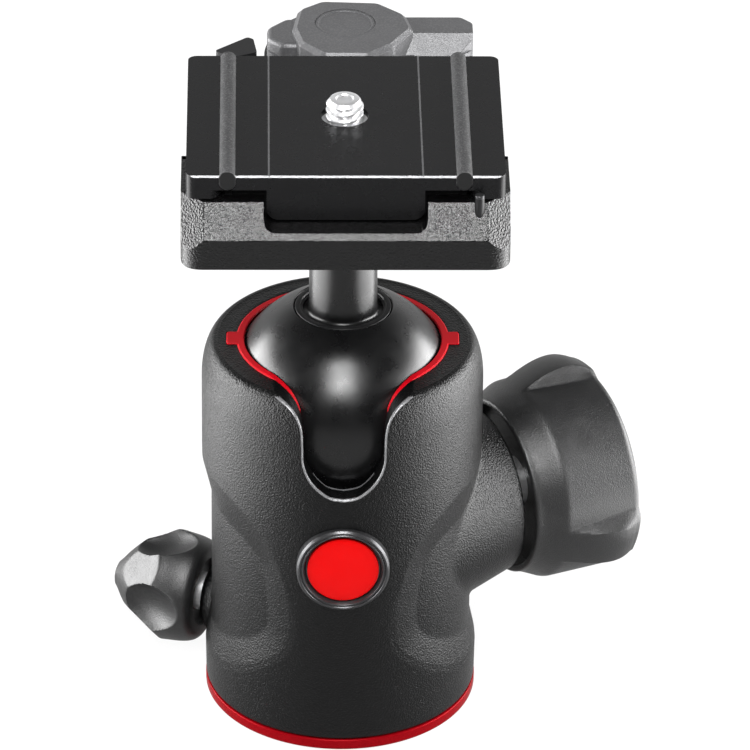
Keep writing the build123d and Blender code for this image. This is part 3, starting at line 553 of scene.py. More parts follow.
def cad_copy(node, name):
    """A copy of a frame node's mesh with its triangles merged into flat faces."""
    piece = bpy.data.objects.new(name, nodes[node].data.copy())
    bpy.context.scene.collection.objects.link(piece)
    piece.data.name = name
    wake(piece)
    bpy.ops.mesh.customdata_custom_splitnormals_clear()
    join_flats(piece, 0.001)
    return piece


def put(piece, node, body, material):
    """Names the finish of a piece, the body that carries it and the solid it stands for."""
    piece.data.materials.clear()
    piece.data.materials.append(looks[material])
    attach(piece, body)
    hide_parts(node)
    print(piece.name, "faces", len(piece.data.polygons))


print("edges ready")

# %% [markdown]
# Scoops, pockets and threads are relief on a round skin. The skin is spun with close rows,
# and its points are then moved in to a radius that is worked out for each of them.

# %% Moving the points of a skin
def spots(piece):
    """The points of a mesh in millimetres, as an array."""
    flat = np.empty(len(piece.data.vertices) * 3)
    piece.data.vertices.foreach_get("co", flat)
    return flat.reshape(-1, 3) / MM


def set_spots(piece, points):
    """Writes points in millimetres back to a mesh."""
    piece.data.vertices.foreach_set("co", (points * MM).ravel())
    piece.data.update()


def press(piece, points, radius, wanted, moved):
    """Moves some points of a mesh straight in or out to the radius that is wanted there."""
    points[moved, :2] *= (wanted / np.maximum(radius, 1e-6))[moved, None]
    set_spots(piece, points)


def along_knob(azimuth, height):
    """Place of a knob: its X points up and its Z points outwards from the housing's axis."""
    a = math.radians(azimuth)
    out = Vector((math.cos(a), math.sin(a), 0))
    up = Vector((0, 0, 1))
    turn = Matrix((up, out.cross(up), out)).transposed().to_4x4()
    return Matrix.Translation((0, 0, height * MM)) @ turn


LOCK_KNOB, PAN_KNOB = (26.0, 31.0), (158.0, 11.4)
print("knobs at azimuth and height", LOCK_KNOB, PAN_KNOB)

# %% [markdown]
# ## Housing
# The real housing is a turned and milled casting. Its profile is spun here with close rows,
# so that the two shallow side pockets can then be pressed in by moving points. A boolean
# would leave the pockets' long slanting flanks with thin, badly shaded faces.

# %% Profile of the housing, spun
FOOT_R, BELT_R, BORE_R, SEAT_R = 23.4, 24.0, 20.5, 21.45
FOOT_Z, BELT_Z, SHOULDER_Z, SEAT_Z, RIM_Z, BALL_Z = 3.6, 48.0, 61.5, 58.95, 68.3, 56.7
SHOULDER_IN, SHOULDER_UP = 2.5, 6.8


def drum_radius(z):
    """Radius of the outside at a height: slight taper, upright belt, round shoulder."""
    z = np.asarray(z, float)
    taper = FOOT_R + (BELT_R - FOOT_R) * np.clip((z - FOOT_Z) / (BELT_Z - FOOT_Z), 0, 1)
    lift = np.clip((z - SHOULDER_Z) / SHOULDER_UP, 0, 1)
    return taper - SHOULDER_IN * (1 - np.sqrt(1 - lift ** 2))


outside = [(float(drum_radius(z)), float(z)) for z in np.linspace(4.1, SHOULDER_Z, 128)]
shoulder = [(BELT_R - SHOULDER_IN * (1 - math.cos(a)), SHOULDER_Z + SHOULDER_UP * math.sin(a))
            for a in np.radians(np.linspace(5, 86, 15))]
rim = [(21.5, 68.28), (21.3, 68.36), (21.0, RIM_Z), (20.0, RIM_Z), (19.0, RIM_Z),
       (18.3, RIM_Z), (18.06, 68.2)]
seat = [(math.sqrt(SEAT_R ** 2 - (z - BALL_Z) ** 2), z)
        for z in (67.6, 66.5, 65.0, 63.0, 61.0, SEAT_Z)]
inside = [(BORE_R, z) for z in (SEAT_Z, 45.0, 24.0, FOOT_Z)]
skirt = [(22.8, FOOT_Z), (22.8, 2.25), (23.0, 2.2), (23.25, 2.25), (23.36, 2.5), (FOOT_R, 3.2)]
housing = spun("housing_coated", skirt + outside + shoulder + rim + seat + inside, 448)
print("housing points", len(housing.data.vertices))

# %% [markdown]
# Each side pocket is drawn flat, as if the drum's skin were rolled out: one line is the edge
# where the pocket begins, the other the border of its flat floor. A point between the two
# lines goes in by its share of the way, which gives the long slanting flanks.

# %% Outlines of a side pocket
pocket_edge = curve_through([
    (-4, 46.0), (4, 46.0), (10.7, 45.9), (15.6, 45.2), (19.0, 43.6), (21.3, 42.0), (23.3, 40.0),
    (24.4, 38.3), (25.7, 35.6), (26.8, 32.3), (27.8, 29.0), (28.3, 25.5), (28.3, 23.0),
    (28.0, 20.8), (27.0, 18.6), (24.8, 16.4), (21.7, 14.1), (18.3, 12.2), (14.9, 10.5),
    (11.6, 9.6), (8.8, 9.3), (4, 9.2), (-4, 9.2)])
pocket_floor = curve_through([
    (-4, 39.2), (4, 39.2), (8.5, 39.0), (12.5, 38.6), (16.4, 37.8), (19.3, 36.4), (21.2, 34.6),
    (22.1, 31.5), (22.7, 27.5), (22.8, 24.5), (22.4, 21.8), (20.8, 19.7), (17.7, 17.7),
    (14.0, 16.0), (9.0, 14.5), (4, 14.2), (-4, 14.2)])


def distance_to(line, points):
    """Distance from flat points to a line of short runs."""
    best = np.full(len(points), np.inf)
    for a, b in zip(line[:-1], line[1:]):
        run = b - a
        t = np.clip(((points - a) @ run) / (run @ run), 0, 1)
        best = np.minimum(best, np.hypot(*(points - a - t[:, None] * run).T))
    return best


def within(line, points):
    """Whether flat points lie inside a line that is closed by its two ends."""
    inside_it = np.zeros(len(points), bool)
    for a, b in zip(line, np.roll(line, -1, axis=0)):
        crosses = (a[1] > points[:, 1]) != (b[1] > points[:, 1])
        rise = b[1] - a[1] if b[1] != a[1] else 1e-9
        inside_it ^= crosses & (points[:, 0] < (b[0] - a[0]) * (points[:, 1] - a[1]) / rise + a[0])
    return inside_it


print("pocket lines", len(pocket_edge), len(pocket_floor))

# %% Side pockets, pressed in
POCKET_R, ROLLED_R = 22.4, 23.6
LIP_DEPTH, LIP_WIDTH = 0.10, 0.28
points = spots(housing)
radius = np.hypot(points[:, 0], points[:, 1])
outer = (radius > 22.5) & (points[:, 2] > 4) & (points[:, 2] < 60)
picked = points[outer]
rolled_out = ROLLED_R * np.arctan2(np.abs(picked[:, 1]), np.abs(picked[:, 0]))
flat = np.column_stack([rolled_out, picked[:, 2]])
edge_away = distance_to(pocket_edge, flat)
floor_away = np.where(within(pocket_floor, flat), 0.0, distance_to(pocket_floor, flat))
share = np.where(within(pocket_edge, flat), edge_away / (edge_away + floor_away + 1e-9), 0.0)
share = np.where(floor_away == 0, 1.0, share)
full = drum_radius(picked[:, 2]) - POCKET_R
low_down = np.clip((32 - picked[:, 2]) / 8, 0, 1)
lip = LIP_DEPTH * np.exp(-(edge_away / LIP_WIDTH) ** 2) * low_down
scale = (radius[outer] - share * full - lip) / radius[outer]
points[outer, :2] *= scale[:, None]
set_spots(housing, points)
print("pocket depth in mm", round(float((share * full).max()), 2))

# %% [markdown]
# The drop notch lets the stem lie down. Its cutter is a skin of rings that lie on cylinders
# about the housing's axis, a little wider at the very outside, so the cut leaves a rounded
# edge that catches the light. A bevel after the cut would stumble over the skin's close rows.

# %% Outlines of the notch
mouth = [(14.5, 68.9), (12.6, 68.5), (11.2, 68.15), (9.3, 67.3), (8.0, 66.0), (7.2, 64.3),
         (6.9, 62.6), (6.8, 60.0)]
notch_outside = curve_through(mouth + [
    (6.75, 57.7), (6.5, 56.3), (6.0, 54.9), (5.1, 53.4), (3.6, 51.95), (2.0, 51.0), (0, 50.7)], 6)
notch_inside = curve_through(mouth + [
    (6.7, 57.7), (6.4, 56.2), (5.8, 54.8), (5.0, 53.5), (3.9, 52.2), (2.5, 51.2), (0, 50.72)], 6)
LAND, CUTTER_OUT, CUTTER_IN, CUTTER_TOP = 3.0, 9.0, 8.0, 76.0


def notch_ring(line, depth, widen):
    """One ring of the cutter: the outline, widened and laid at a depth under the surface."""
    half = np.array(line)
    along_it = np.gradient(half, axis=0)
    away = np.column_stack([-along_it[:, 1], along_it[:, 0]])
    away /= np.linalg.norm(away, axis=1)[:, None]
    half = half + widen * away
    half[-1, 0] = 0
    both = np.vstack([half, half[-2::-1] * (-1, 1)])
    level = drum_radius(np.minimum(both[:, 1], RIM_Z)) - depth
    y = -np.sqrt(np.maximum(level ** 2 - both[:, 0] ** 2, 1.0))
    ring = [(x, yy, z) for (x, z), yy in zip(both, y)]
    return ring + [(*ring[-1][:2], CUTTER_TOP), (*ring[0][:2], CUTTER_TOP)]


def skin(name, rings):
    """A closed skin over rings that all have the same number of points."""
    count = len(rings[0])
    starts = range(0, (len(rings) - 1) * count, count)
    faces = [(a + n, a + (n + 1) % count, a + count + (n + 1) % count, a + count + n)
             for a in starts for n in range(count)]
    faces += [tuple(range(count)), tuple(range(starts[-1] + count, len(rings) * count))]
    piece = mesh_piece(name, [p for ring in rings for p in ring], [], faces)
    tidy_mesh(piece, 0.0001)
    return piece


def notch_tool(edge=0.45):
    """The cutter of the notch, whose outer rings round the edge by a radius."""
    turns = [(-CUTTER_OUT, edge * 1.25), (-0.02, edge * 1.02)]
    turns += [(edge * (1 - math.cos(a)), edge * (1 - math.sin(a)))
              for a in np.radians([15, 35, 55, 75, 90])]
    rings = [notch_ring(notch_outside, depth, widen) for depth, widen in turns]
    rings += [notch_ring(notch_outside * (1 - t) + notch_inside * t, edge + t * LAND, 0)
              for t in (0.4, 0.86, 1.0)]
    rings += [notch_ring(notch_inside, CUTTER_IN, 0)]
    return skin("notch_tool", rings)


print("notch points", len(notch_outside), len(notch_inside))

# %% Notch
cut(housing, notch_tool())
print("housing faces after the notch", len(housing.data.polygons))

# %% [markdown]
# The red seat has two tabs that lie in a slot across the rim, the badge sits in a round
# pocket, and the two locks pass through holes. All are milled on the real housing, so here
# they are cuts with a block and with rods.

# %% Recesses and holes
BADGE_Z = 37.1
cut(housing, block((0, 0, RIM_Z - 0.4), (39.7, 4.3, 2.4)))
cut(housing, rod((0, -26.5, BADGE_Z), 7.95, 8, 128, (math.pi / 2, 0, 0)))
for knob_place, hole in ((LOCK_KNOB, 8.7), (PAN_KNOB, 4.8)):
    hole_tool = rod((0, 0, 0), hole, 16, 96)
    hole_tool.data.transform(along_knob(*knob_place) @ Matrix.Translation((0, 0, 20 * MM)))
    cut(housing, hole_tool)
print("housing faces", len(housing.data.polygons))

# %% [markdown]
# Each knob turns on a boss, a short cone cast on the drum. The boss starts inside the wall,
# and its foot flares into the drum in a small fillet, whose place changes round the cone
# because the drum is round.

# %% Bosses
ROUND_OFF, FOOT_SINK = 0.7, 0.06


def as_rings(*arrays):
    """Lists of plain points from arrays of points."""
    return [[tuple(p) for p in array] for array in arrays]


def boss(name, knob_place, foot, foot_at, top, top_at, fillet, hole, hole_at, rows=14, steps=160):
    """A cone on the drum with a filleted foot and a bored end."""
    place = along_knob(*knob_place)
    back = place.inverted()
    slope = (top - foot) / (top_at - foot_at)
    touch, beside = [], []
    angles = np.linspace(0, 2 * math.pi, steps, endpoint=False)
    for a in angles:
        for widen, found in ((0.0, touch), (fillet * 1.1, beside)):
            start = Vector(((top + widen) * math.cos(a), (top + widen) * math.sin(a), top_at)) * MM
            run = Vector((-slope * math.cos(a), -slope * math.sin(a), -1.0)).normalized()
            hit, where, _, _ = housing.ray_cast(place @ start, place.to_3x3() @ run)
            found.append(back @ where / MM if hit else start / MM + run * (top_at - 12.0))
    touch, beside = np.array(touch), np.array(beside)
    out = np.array([[math.cos(a), math.sin(a), 0] for a in angles])
    line = out * slope + (0, 0, 1)
    line /= np.linalg.norm(line, axis=1)[:, None]
    on_cone, sunk = touch + fillet * line, beside - FOOT_SINK * line
    crown = out * (top - slope * ROUND_OFF) + (0, 0, top_at - ROUND_OFF)
    rings = as_rings(touch - 1.4 * line - 0.5 * out)
    rings += as_rings(*[(1 - t) ** 2 * sunk + 2 * t * (1 - t) * touch + t ** 2 * on_cone
                        for t in np.linspace(0, 1, 8)])
    rings += as_rings(*[(1 - t) * on_cone + t * crown for t in np.linspace(0, 1, rows)[1:]])
    rings += as_rings(*[out * (top - ROUND_OFF * (1 - math.cos(t)))
                        + (0, 0, top_at - ROUND_OFF * (1 - math.sin(t)))
                        for t in np.radians([25, 50, 75, 90])])
    rings += as_rings(*[out * radius + (0, 0, level) for radius, level
                        in ((hole + 0.3, top_at), (hole, top_at - 0.3), (hole, hole_at))])
    piece = skin(name, rings)
    piece.data.transform(place)
    return piece


lock_boss = boss("lock_boss", LOCK_KNOB, foot=17.6, foot_at=17.0, top=14.5, top_at=28.6,
                 fillet=0.8, hole=8.55, hole_at=19.5)
pan_boss = boss("pan_boss", PAN_KNOB, foot=8.4, foot_at=19.5, top=5.8, top_at=24.4,
                fillet=0.6, hole=4.65, hole_at=20.0, rows=4)
wake(housing)
lock_boss.select_set(True)
pan_boss.select_set(True)
bpy.ops.object.join()
smooth(housing, 32)
put(housing, "housing", "housing", "black_coat")

# %% [markdown]
# The notch's rounded edge and the upward faces of the lip inside it get a lighter grey metal:
# partly coat rubbed off, partly a painted highlight. These places get a second material on the
# same mesh, chosen face by face: a face is on the edge if it lies near the notch's outline and
# neither faces straight out of the drum nor along the wall.

# %% Worn and painted-highlight edges round the notch
EDGE_NEAR, EDGE_DEEP, LIP_FROM, LIP_TO = 0.62, 0.5, 2.9, 3.5
# The lighter metal on these faces is partly wear and partly a painted highlight on the rounded edge
# and on the lip's upward faces.
housing.data.materials.append(looks["worn_edge_painted_highlight"])
edge_line = np.array(notch_outside)
worn_and_painted_highlight_faces = []
for face in housing.data.polygons:
    x, y, z = face.center / MM
    if y > 0 or not 50.0 < z < RIM_Z - 0.3:
        continue
    radius = math.hypot(x, y)
    depth = float(drum_radius(z)) - radius
    beside = np.hypot(edge_line[:, 0] - abs(x), edge_line[:, 1] - z).min()
    rise = float(drum_radius(z - 0.1) - drum_radius(z + 0.1)) / 0.2
    flush = face.normal.dot(Vector((x / radius, y / radius, rise)).normalized())
    on_edge = beside < EDGE_NEAR and depth < EDGE_DEEP and 0.1 < flush < 0.985
    on_lip = LIP_FROM < depth < LIP_TO and abs(x) < 5.2 and z < 53.8 and face.normal.z > 0.5
    if on_edge or on_lip:
        face.material_index = 1
        worn_and_painted_highlight_faces.append(face.index)
print("worn faces", len(worn_and_painted_highlight_faces))

# %% [markdown]
# ## Red seat and base ring
# The upper seat is moulded in red plastic. It follows the rim, dips into the notch and ends
# there, so it is spun and cut with the same notch, and then once more below its ends.

# %% Upper seat
SEAT_FACE_R, SEAT_BACK_R = 20.3, 21.4
heights = np.linspace(59.0, 68.0, 10)
seat_in = [(math.sqrt(SEAT_FACE_R ** 2 - (z - BALL_Z) ** 2), z) for z in heights]
seat_out = [(math.sqrt(SEAT_BACK_R ** 2 - (z - BALL_Z) ** 2), z) for z in heights[::-1]]
seat_top = [(16.72, 68.25), (16.9, 68.45), (17.85, 68.45), (18.05, 68.3)]
red_seat = spun("red_seat", seat_in + seat_top + seat_out, 320)
tab_line = soften([(17.4, -2.05), (19.75, -2.05), (19.75, 2.05), (17.4, 2.05)],
                  [0, 0.5, 0.5, 0], 4)
for side in (1, -1):
    tab = slab("tab", [(side * x, side * y) for x, y in tab_line], 67.0, 68.45)
    cut(red_seat, soft_edges(tab, 0.12, segments=1), "UNION")
cut(red_seat, notch_tool(0.3))
cut(red_seat, block((0, -14, 60), (16.4, 20, 9.3)))
smooth(red_seat, 30)
put(red_seat, "upper_seat", "housing", "red_plastic")

# %% [markdown]
# The base ring is a plain turned and anodised ring in a step under the housing, so a spun
# outline with rounded corners is all that it needs.

# %% Base ring
ring_line = soften([(21.4, 0.0), (23.45, 0.0), (23.45, 1.9), (22.6, 1.9), (22.6, 3.2), (21.4, 3.2)],
                   [0, 0.3, 0.35, 0, 0.1, 0], 6)
red_ring = spun("red_ring", ring_line, 320)
smooth(red_ring, 40)
put(red_ring, "base_ring", "base", "red_anodised")

# %% [markdown]
# ## Ball and collar
# Ball and stem are turned from one bar, so one profile is spun. The foot of the stem ends in
# a fillet inside a shallow dish, where the loose collar lies.

# %% Ball
BALL_R, STEM_R, DISH_Z, FILLET = 20, 5.78, 74.0, 0.95
sphere_line = [(BALL_R * math.cos(a), BALL_Z + BALL_R * math.sin(a))
               for a in np.radians(np.linspace(-89.5, 64.6, 110))]
dish_line = [(8.47, 74.72), (8.38, 74.6), (8.35, DISH_Z), (6.75, DISH_Z)]
fillet_line = [(STEM_R + FILLET * (1 - math.sin(a)), DISH_Z + FILLET * (1 - math.cos(a)))
               for a in np.radians([15, 30, 45, 60, 75, 90])]
stem_line = [(STEM_R, 85.0), (STEM_R, 96.1), (5.5, 96.4), (3.0, 96.4), (3.0, 80.2), (0, 80.2)]
ball_line = [(0, BALL_Z - BALL_R)] + sphere_line + dish_line + fillet_line + stem_line
ball_piece = spun("ball_and_stem", ball_line, 256, closed=False)
smooth(ball_piece, 40)
put(ball_piece, "ball", "head", "satin_black")

# %% Collar round the stem
collar_line = soften([(6.85, 74.1), (8.2, 74.1), (8.2, 74.8), (7.35, 74.8), (7.2, 74.55),
                      (6.85, 74.55)], [0, 0, 0.2, 0.1, 0.1, 0.1], 4)
collar = spun("collar", collar_line, 160)
smooth(collar, 40)
put(collar, "stem_collar", "head", "black_plastic")

# %% [markdown]
# ## Badge
# A turned dark ring stands a little out of the drum, and a plain domed red disc lies inside
# it, with a gap between them. Both are spun about Z and then turned to face forwards.

# %% Badge ring and disc
badge_place = Matrix.Translation((0, 0, BADGE_Z * MM)) @ Matrix.Rotation(math.radians(90), 4, "X")
bezel_line = soften([(6.1, 22.5), (7.9, 22.5), (7.9, 24.5), (7.55, 24.9), (7.3, 24.9),
                     (7.15, 24.68), (6.98, 24.86), (6.75, 24.8), (6.3, 23.7), (6.1, 23.7)],
                    [0, 0, 0.3, 0.1, 0.06, 0.05, 0.06, 0.1, 0.05, 0], 4)
bezel = spun("bezel", bezel_line, 256)
bezel.data.transform(badge_place)
smooth(bezel, 45)
put(bezel, "badge_bezel", "housing", "bright_rim")

DISC_R, DOME_UP, DOME_ANGLE = 6.05, 0.75, 1.0
dome = [(DISC_R * math.sin(a) / math.sin(DOME_ANGLE),
         24.35 + DOME_UP * (math.cos(a) - math.cos(DOME_ANGLE)) / (1 - math.cos(DOME_ANGLE)))
        for a in np.linspace(DOME_ANGLE, 0.02, 14)]
disc_line = [(0, 22.6), (DISC_R, 22.6), (DISC_R, 24.2)] + dome + [(0, 24.35 + DOME_UP)]
red_disc = spun("red_disc", disc_line, 192, closed=False)
red_disc.data.transform(badge_place)
smooth(red_disc, 50)
put(red_disc, "badge_disc", "housing", "badge_red")

# %% [markdown]
# ## Main lock knob
# The knob flares from a round skirt to three broad lobes. Its skin is a spun grid whose
# points are then pulled in to the scoops: the radius is a rule of the angle and of the
# distance along the knob, with flanks that widen towards the outer face.

# %% Radius of the main knob
KNOB_BACK, SCOOP_FROM, SCOOP_TO, KNOB_FACE = 30.1, 34.3, 48.2, 49.6
LOBES = (73.0, -47.0, -167.0)


def blend_low(a, b, width):
    """The smaller of two values, with a rounded change from one to the other."""
    t = np.clip(0.5 + 0.5 * (b - a) / width, 0, 1)
    return b * (1 - t) + a * t - width * t * (1 - t)


flare = curve_through([(KNOB_BACK, 15.55), (31.5, 15.85), (33.2, 16.6), (35.0, 17.5),
                       (38.0, 18.8), (41.0, 19.75), (43.5, 20.15), (45.5, 20.05),
                       (47.2, 19.5), (SCOOP_TO, 18.95)])


def knob_radius(angle, level):
    """Radius of the main knob at an angle from its top and at a distance along it."""
    crest = np.interp(level, flare[:, 0], flare[:, 1])
    t = np.clip((level - SCOOP_FROM) / (SCOOP_TO - SCOOP_FROM), 0, 1)
    scoop_floor = 17.62 + 0.35 * t
    result = crest
    for lobe in LOBES:
        off = np.abs((angle - lobe + 180) % 360 - 180)
        start, end = 47.5 - 6.5 * t, 49.0 + 1.0 * t
        flank = np.clip((off - start) / (end - start), 0, 1)
        wall = scoop_floor + (crest - scoop_floor + 0.5) * flank ** 1.35
        wall = np.where((off > end) | (level < SCOOP_FROM), crest + 0.5, wall)
        result = blend_low(result, wall, 0.22)
    return result


def polar(piece):
    """Points of a spun mesh, with their radius, their angle from the top and their level."""
    points = spots(piece)
    radius = np.hypot(points[:, 0], points[:, 1])
    return points, radius, np.degrees(np.arctan2(-points[:, 1], points[:, 0])), points[:, 2]


print("scoops at", LOBES)

# %% Main knob
levels = np.concatenate([[30.25, 30.45], np.linspace(30.8, 34.1, 9),
                         np.linspace(34.26, SCOOP_TO, 46), [48.7, 49.15, 49.45, KNOB_FACE]])
side_line = [(15.2, KNOB_BACK)] + [(16.0, w) for w in levels]
face_line = [(12.0, KNOB_FACE), (9.25, KNOB_FACE), (9.05, 49.4), (9.05, 45.75)]
back_line = [(4.6, 45.75), (4.6, 34.1), (7.5, 34.1), (14.5, 34.1), (14.5, 30.4), (14.8, KNOB_BACK)]
knob = spun("main_knob", side_line + face_line + back_line, 360)
points, radius, angle, level = polar(knob)
edge_round = np.interp(level, [KNOB_BACK, 30.25, 30.45, SCOOP_TO, 48.7, 49.15, 49.45, KNOB_FACE],
                       [0.35, 0.1, 0, 0, 0.15, 0.6, 1.3, 2.6])
wanted = knob_radius(angle, np.clip(level, KNOB_BACK, SCOOP_TO)) - edge_round
press(knob, points, radius, wanted, radius > 15.1)
knob.data.transform(along_knob(*LOCK_KNOB))
tidy_mesh(knob, 0.0005)
smooth(knob, 40)
put(knob, "lock_knob", "lock_knob", "knob_black")

# %% Cap in the knob's face
cap_line = soften([(0, 48.2), (9.0, 48.2), (9.0, KNOB_FACE), (6.9, KNOB_FACE), (6.5, 49.3),
                   (0, 49.3)], [0, 0, 0.35, 0.15, 0.15, 0], 4)
cap = spun("face_cap", cap_line, 160)
cap.data.transform(along_knob(*LOCK_KNOB))
smooth(cap, 40)
put(cap, "knob_cap", "lock_knob", "black_plastic")

# %% [markdown]
# ## Pan lock knob
# A small winged knob: a round belly that tapers to a blunt tip, with four oval scoops whose
# edges meet in ridges, and flat facets where the wings run out. The skin is again a spun
# grid whose radius is the lowest of the belly, the scoops and the facets.

# %% Radius of the pan knob
WING_BACK, WING_TIP = 25.3, 42.1
belly = curve_through([(WING_BACK, 8.0), (26.2, 8.9), (27.8, 9.4), (30.0, 9.65), (32.4, 9.75),
                       (34.6, 8.9), (37.2, 7.25), (39.6, 4.9), (41.0, 3.2), (41.7, 2.4),
                       (WING_TIP, 2.0)])


def pan_knob_radius(angle, level):
    """Radius of the small knob at an angle from its top and at a distance along it."""
    result = np.interp(level, belly[:, 0], belly[:, 1])
    for middle in (0, 90, 180, 270):
        # oval scoop: a squashed ball that lies outside the knob, tilted along its taper
        off = np.radians((angle - middle + 180) % 360 - 180)
        centre_r = 12.4 - 0.34 * (level - 32.0)
        half = 5.9 * np.sqrt(np.clip(1 - ((level - 31.6) / 8.0) ** 2, 0, 1))
        dip = half ** 2 - (centre_r * np.sin(off)) ** 2
        near = centre_r * np.cos(off) - np.sqrt(np.maximum(dip, 0))
        scoop = np.where((dip > 0) & (np.abs(off) < 1.2), near, 99.0)
        result = blend_low(result, scoop, 0.18)
        # flat facet on each wing, cut across the tip
        turn = np.radians((angle - 45 - middle + 180) % 360 - 180)
        lean = 9.35 - 0.60 * (level - 32.4)
        facet = np.where(np.abs(turn) < 1.2, lean / np.maximum(np.cos(turn), 0.2), 99.0)
        result = blend_low(result, facet, 0.15)
    return result


print("belly points", len(belly))

# %% Pan knob
levels = np.concatenate([[25.45, 25.7], np.linspace(26.0, 41.8, 84), [42.0, WING_TIP]])
wing_line = [(0, 26.6), (5.4, 26.6), (5.9, 26.3), (6.1, WING_BACK), (6.9, WING_BACK)]
wing_line += [(8.0, w) for w in levels] + [(1.4, 42.12), (0, 42.12)]
pan_knob = spun("pan_lock_knob", wing_line, 256, closed=False)
points, radius, angle, level = polar(pan_knob)
edge_round = np.interp(level, [WING_BACK, 25.45, 25.7, 41.8, 42.0, WING_TIP],
                       [0.4, 0.12, 0, 0, 0.25, 0.7])
wanted = pan_knob_radius(angle, np.clip(level, WING_BACK, WING_TIP)) - edge_round
press(pan_knob, points, radius, np.maximum(wanted, 1.45), radius > 6.5)
pan_knob.data.transform(along_knob(*PAN_KNOB))
tidy_mesh(pan_knob, 0.0005)
smooth(pan_knob, 35)
put(pan_knob, "pan_knob", "pan_knob", "knob_black")

# %% [markdown]
# ## Clamp
# The clamp is a casting with a wide front jaw. The jaw is a block whose front is cut to a
# slope and whose corners are cut to facets. It is bevelled before the bay and the window are
# cut, so that the cast edges are round and the milled ones nearly sharp.

# %% Clamp: the wide jaw
CLAMP_LOW, BAY_Z, WALL_Z = 96.4, 102.8, 106.6
jaw_line = soften([(-27.15, -26.2), (27.15, -26.2), (27.15, -5.6), (-27.15, -5.6)],
                  [3.8, 3.8, 0, 0], 9)
jaw = slab("clamp_cast", jaw_line, CLAMP_LOW, WALL_Z)
slice_off(jaw, (0, -26.2, 101.9), (0, -4.7, 4.9))
for side in (-1, 1):
    slice_off(jaw, (side * 23.5, -21.3, WALL_Z), (side * 4.74, -2.34, 3.55))
join_flats(jaw, 0.0005)
soft_edges(jaw, 0.45, 20, 3)
print("jaw faces", len(jaw.data.polygons))

# %% Clamp: bay and window
bay_line = [(-20.0, BAY_Z), (-18.5, 107.8), (2, 107.8), (2, BAY_Z)]
cut(jaw, pulled("bay", [(-20.5, y, z) for y, z in bay_line], (41, 0, 0)))
window_line = soften([(-13.45, 109), (-13.45, BAY_Z), (13.45, BAY_Z), (13.45, 109)],
                     [0, 2.0, 2.0, 0], 8)
cut(jaw, pulled("window", [(x, -29, z) for x, z in window_line], (0, 14, 0)))
join_flats(jaw)
soft_edges(jaw, 0.22, 50, 2)
print("jaw faces after the cuts", len(jaw.data.polygons))

# %% [markdown]
# The narrow part behind the jaw is machined and keeps the shape of the solid, so it is a
# copy of it, cut off at the jaw, with its edges softened. Both parts become one piece.

# %% Clamp: the rear part
rear = cad_copy("clamp_body", "clamp_rear")
slice_off(rear, (0, -7.0, 100), (0, -1, 0))
soft_edges(rear, 0.3, 40, 2)
wake(jaw)
rear.select_set(True)
bpy.ops.object.join()
smooth(jaw, 30, flats=True)
put(jaw, "clamp_body", "head", "black_coat")
jaw.data.materials[0] = looks["clamp_coat"]

# %% [markdown]
# The stop pin is a short turned pin in the sloping front. Its coat is worn off the tip, so
# the faces above a height get a brighter metal than the shank.

# %% Stop pin
TIP_Z = 108.1
pin_line = soften([(0, 98.6), (0.8, 98.6), (0.8, TIP_Z), (0.8, 108.6), (0, 108.8)],
                  [0, 0.1, 0, 0.25, 0], 4)
pin = spun("jaw_pin", pin_line, 48, closed=False)
pin.data.transform(Matrix.Translation((21.9 * MM, -22.6 * MM, 0)))
smooth(pin, 50)
put(pin, "stop_pin", "head", "steel")
pin.data.materials[0] = looks["bright_rim"]
pin.data.materials.append(looks["black_plastic"])
for face in pin.data.polygons:
    face.material_index = 1 if face.center.z < TIP_Z * MM else 0

# %% [markdown]
# ## Plate, strips and screw
# The plate is milled from a bar, so it starts from a copy of its solid and keeps the flat
# faces. It gets a chamfer along the front, two fine seams and broken edges. The chamfer and
# the seams get the lighter grey metal as a second material again: a painted highlight along
# them, partly the anodised black worn off.

# %% Plate
SEAM_X, PLATE_TOP = 12.65, 111.24
plate = cad_copy("plate", "plate_milled")
slice_off(plate, (0, -21.25, 110.96), (0, -1, 1))
for side in (-1, 1):
    cut(plate, block((side * SEAM_X, 0, PLATE_TOP), (0.30, 60, 0.2)))
# A black ring narrows the screw's well and hides the bright screw head below: a dark piece put in
# as painted shade in the well.
dark_well_ring = spun("dark_well_ring", [(4.0, 109.2), (5.2, 109.2), (5.2, PLATE_TOP), (4.0, PLATE_TOP)], 96)
cut(plate, dark_well_ring, "UNION")
join_flats(plate)
soft_edges(plate, 0.28, 40, 3)
smooth(plate, 30, flats=True)
put(plate, "plate", "plate", "plate_black")
# The chamfer and the seams get the lighter metal: a painted highlight along them, partly wear.
plate.data.materials.append(looks["worn_edge_painted_highlight"])
for face in plate.data.polygons:
    x, y, z = face.center / MM
    front_edge = y < -20.5 and z > 110.6 and face.normal.y < -0.1 and face.normal.z > 0.1
    in_seam = abs(abs(x) - SEAM_X) < 0.2 and 111.0 < z < 111.2 and abs(y) < 21.5
    if front_edge or in_seam:
        face.material_index = 1

# %% [markdown]
# The two rubber strips are pulled through slots in the plate. Their tops are dull and
# dusty. The faces that look forwards get the darker satin: painted shade on the front ends.

# %% Strips
strips = cad_copy("rubber_strips", "grip_strips")
soft_edges(strips, 0.25, 50, 3)
smooth(strips, 40, flats=True)
put(strips, "rubber_strips", "plate", "strip_rubber")
strips.data.materials.append(looks["satin_black"])
# Painted shade: the ends that look forwards get the darker satin, while the rest keeps the rubber.
for face in strips.data.polygons:
    if face.normal.y < -0.9:
        face.material_index = 1

# %% [markdown]
# The camera screw has the common quarter-inch thread, twenty turns to the inch. A Screw
# modifier makes an open spiral that has to be joined to the bar. Here the bar is spun and
# its points are moved instead: the radius goes up and down with a phase that climbs by one
# pitch in each turn, so the thread is one closed skin with the rest.

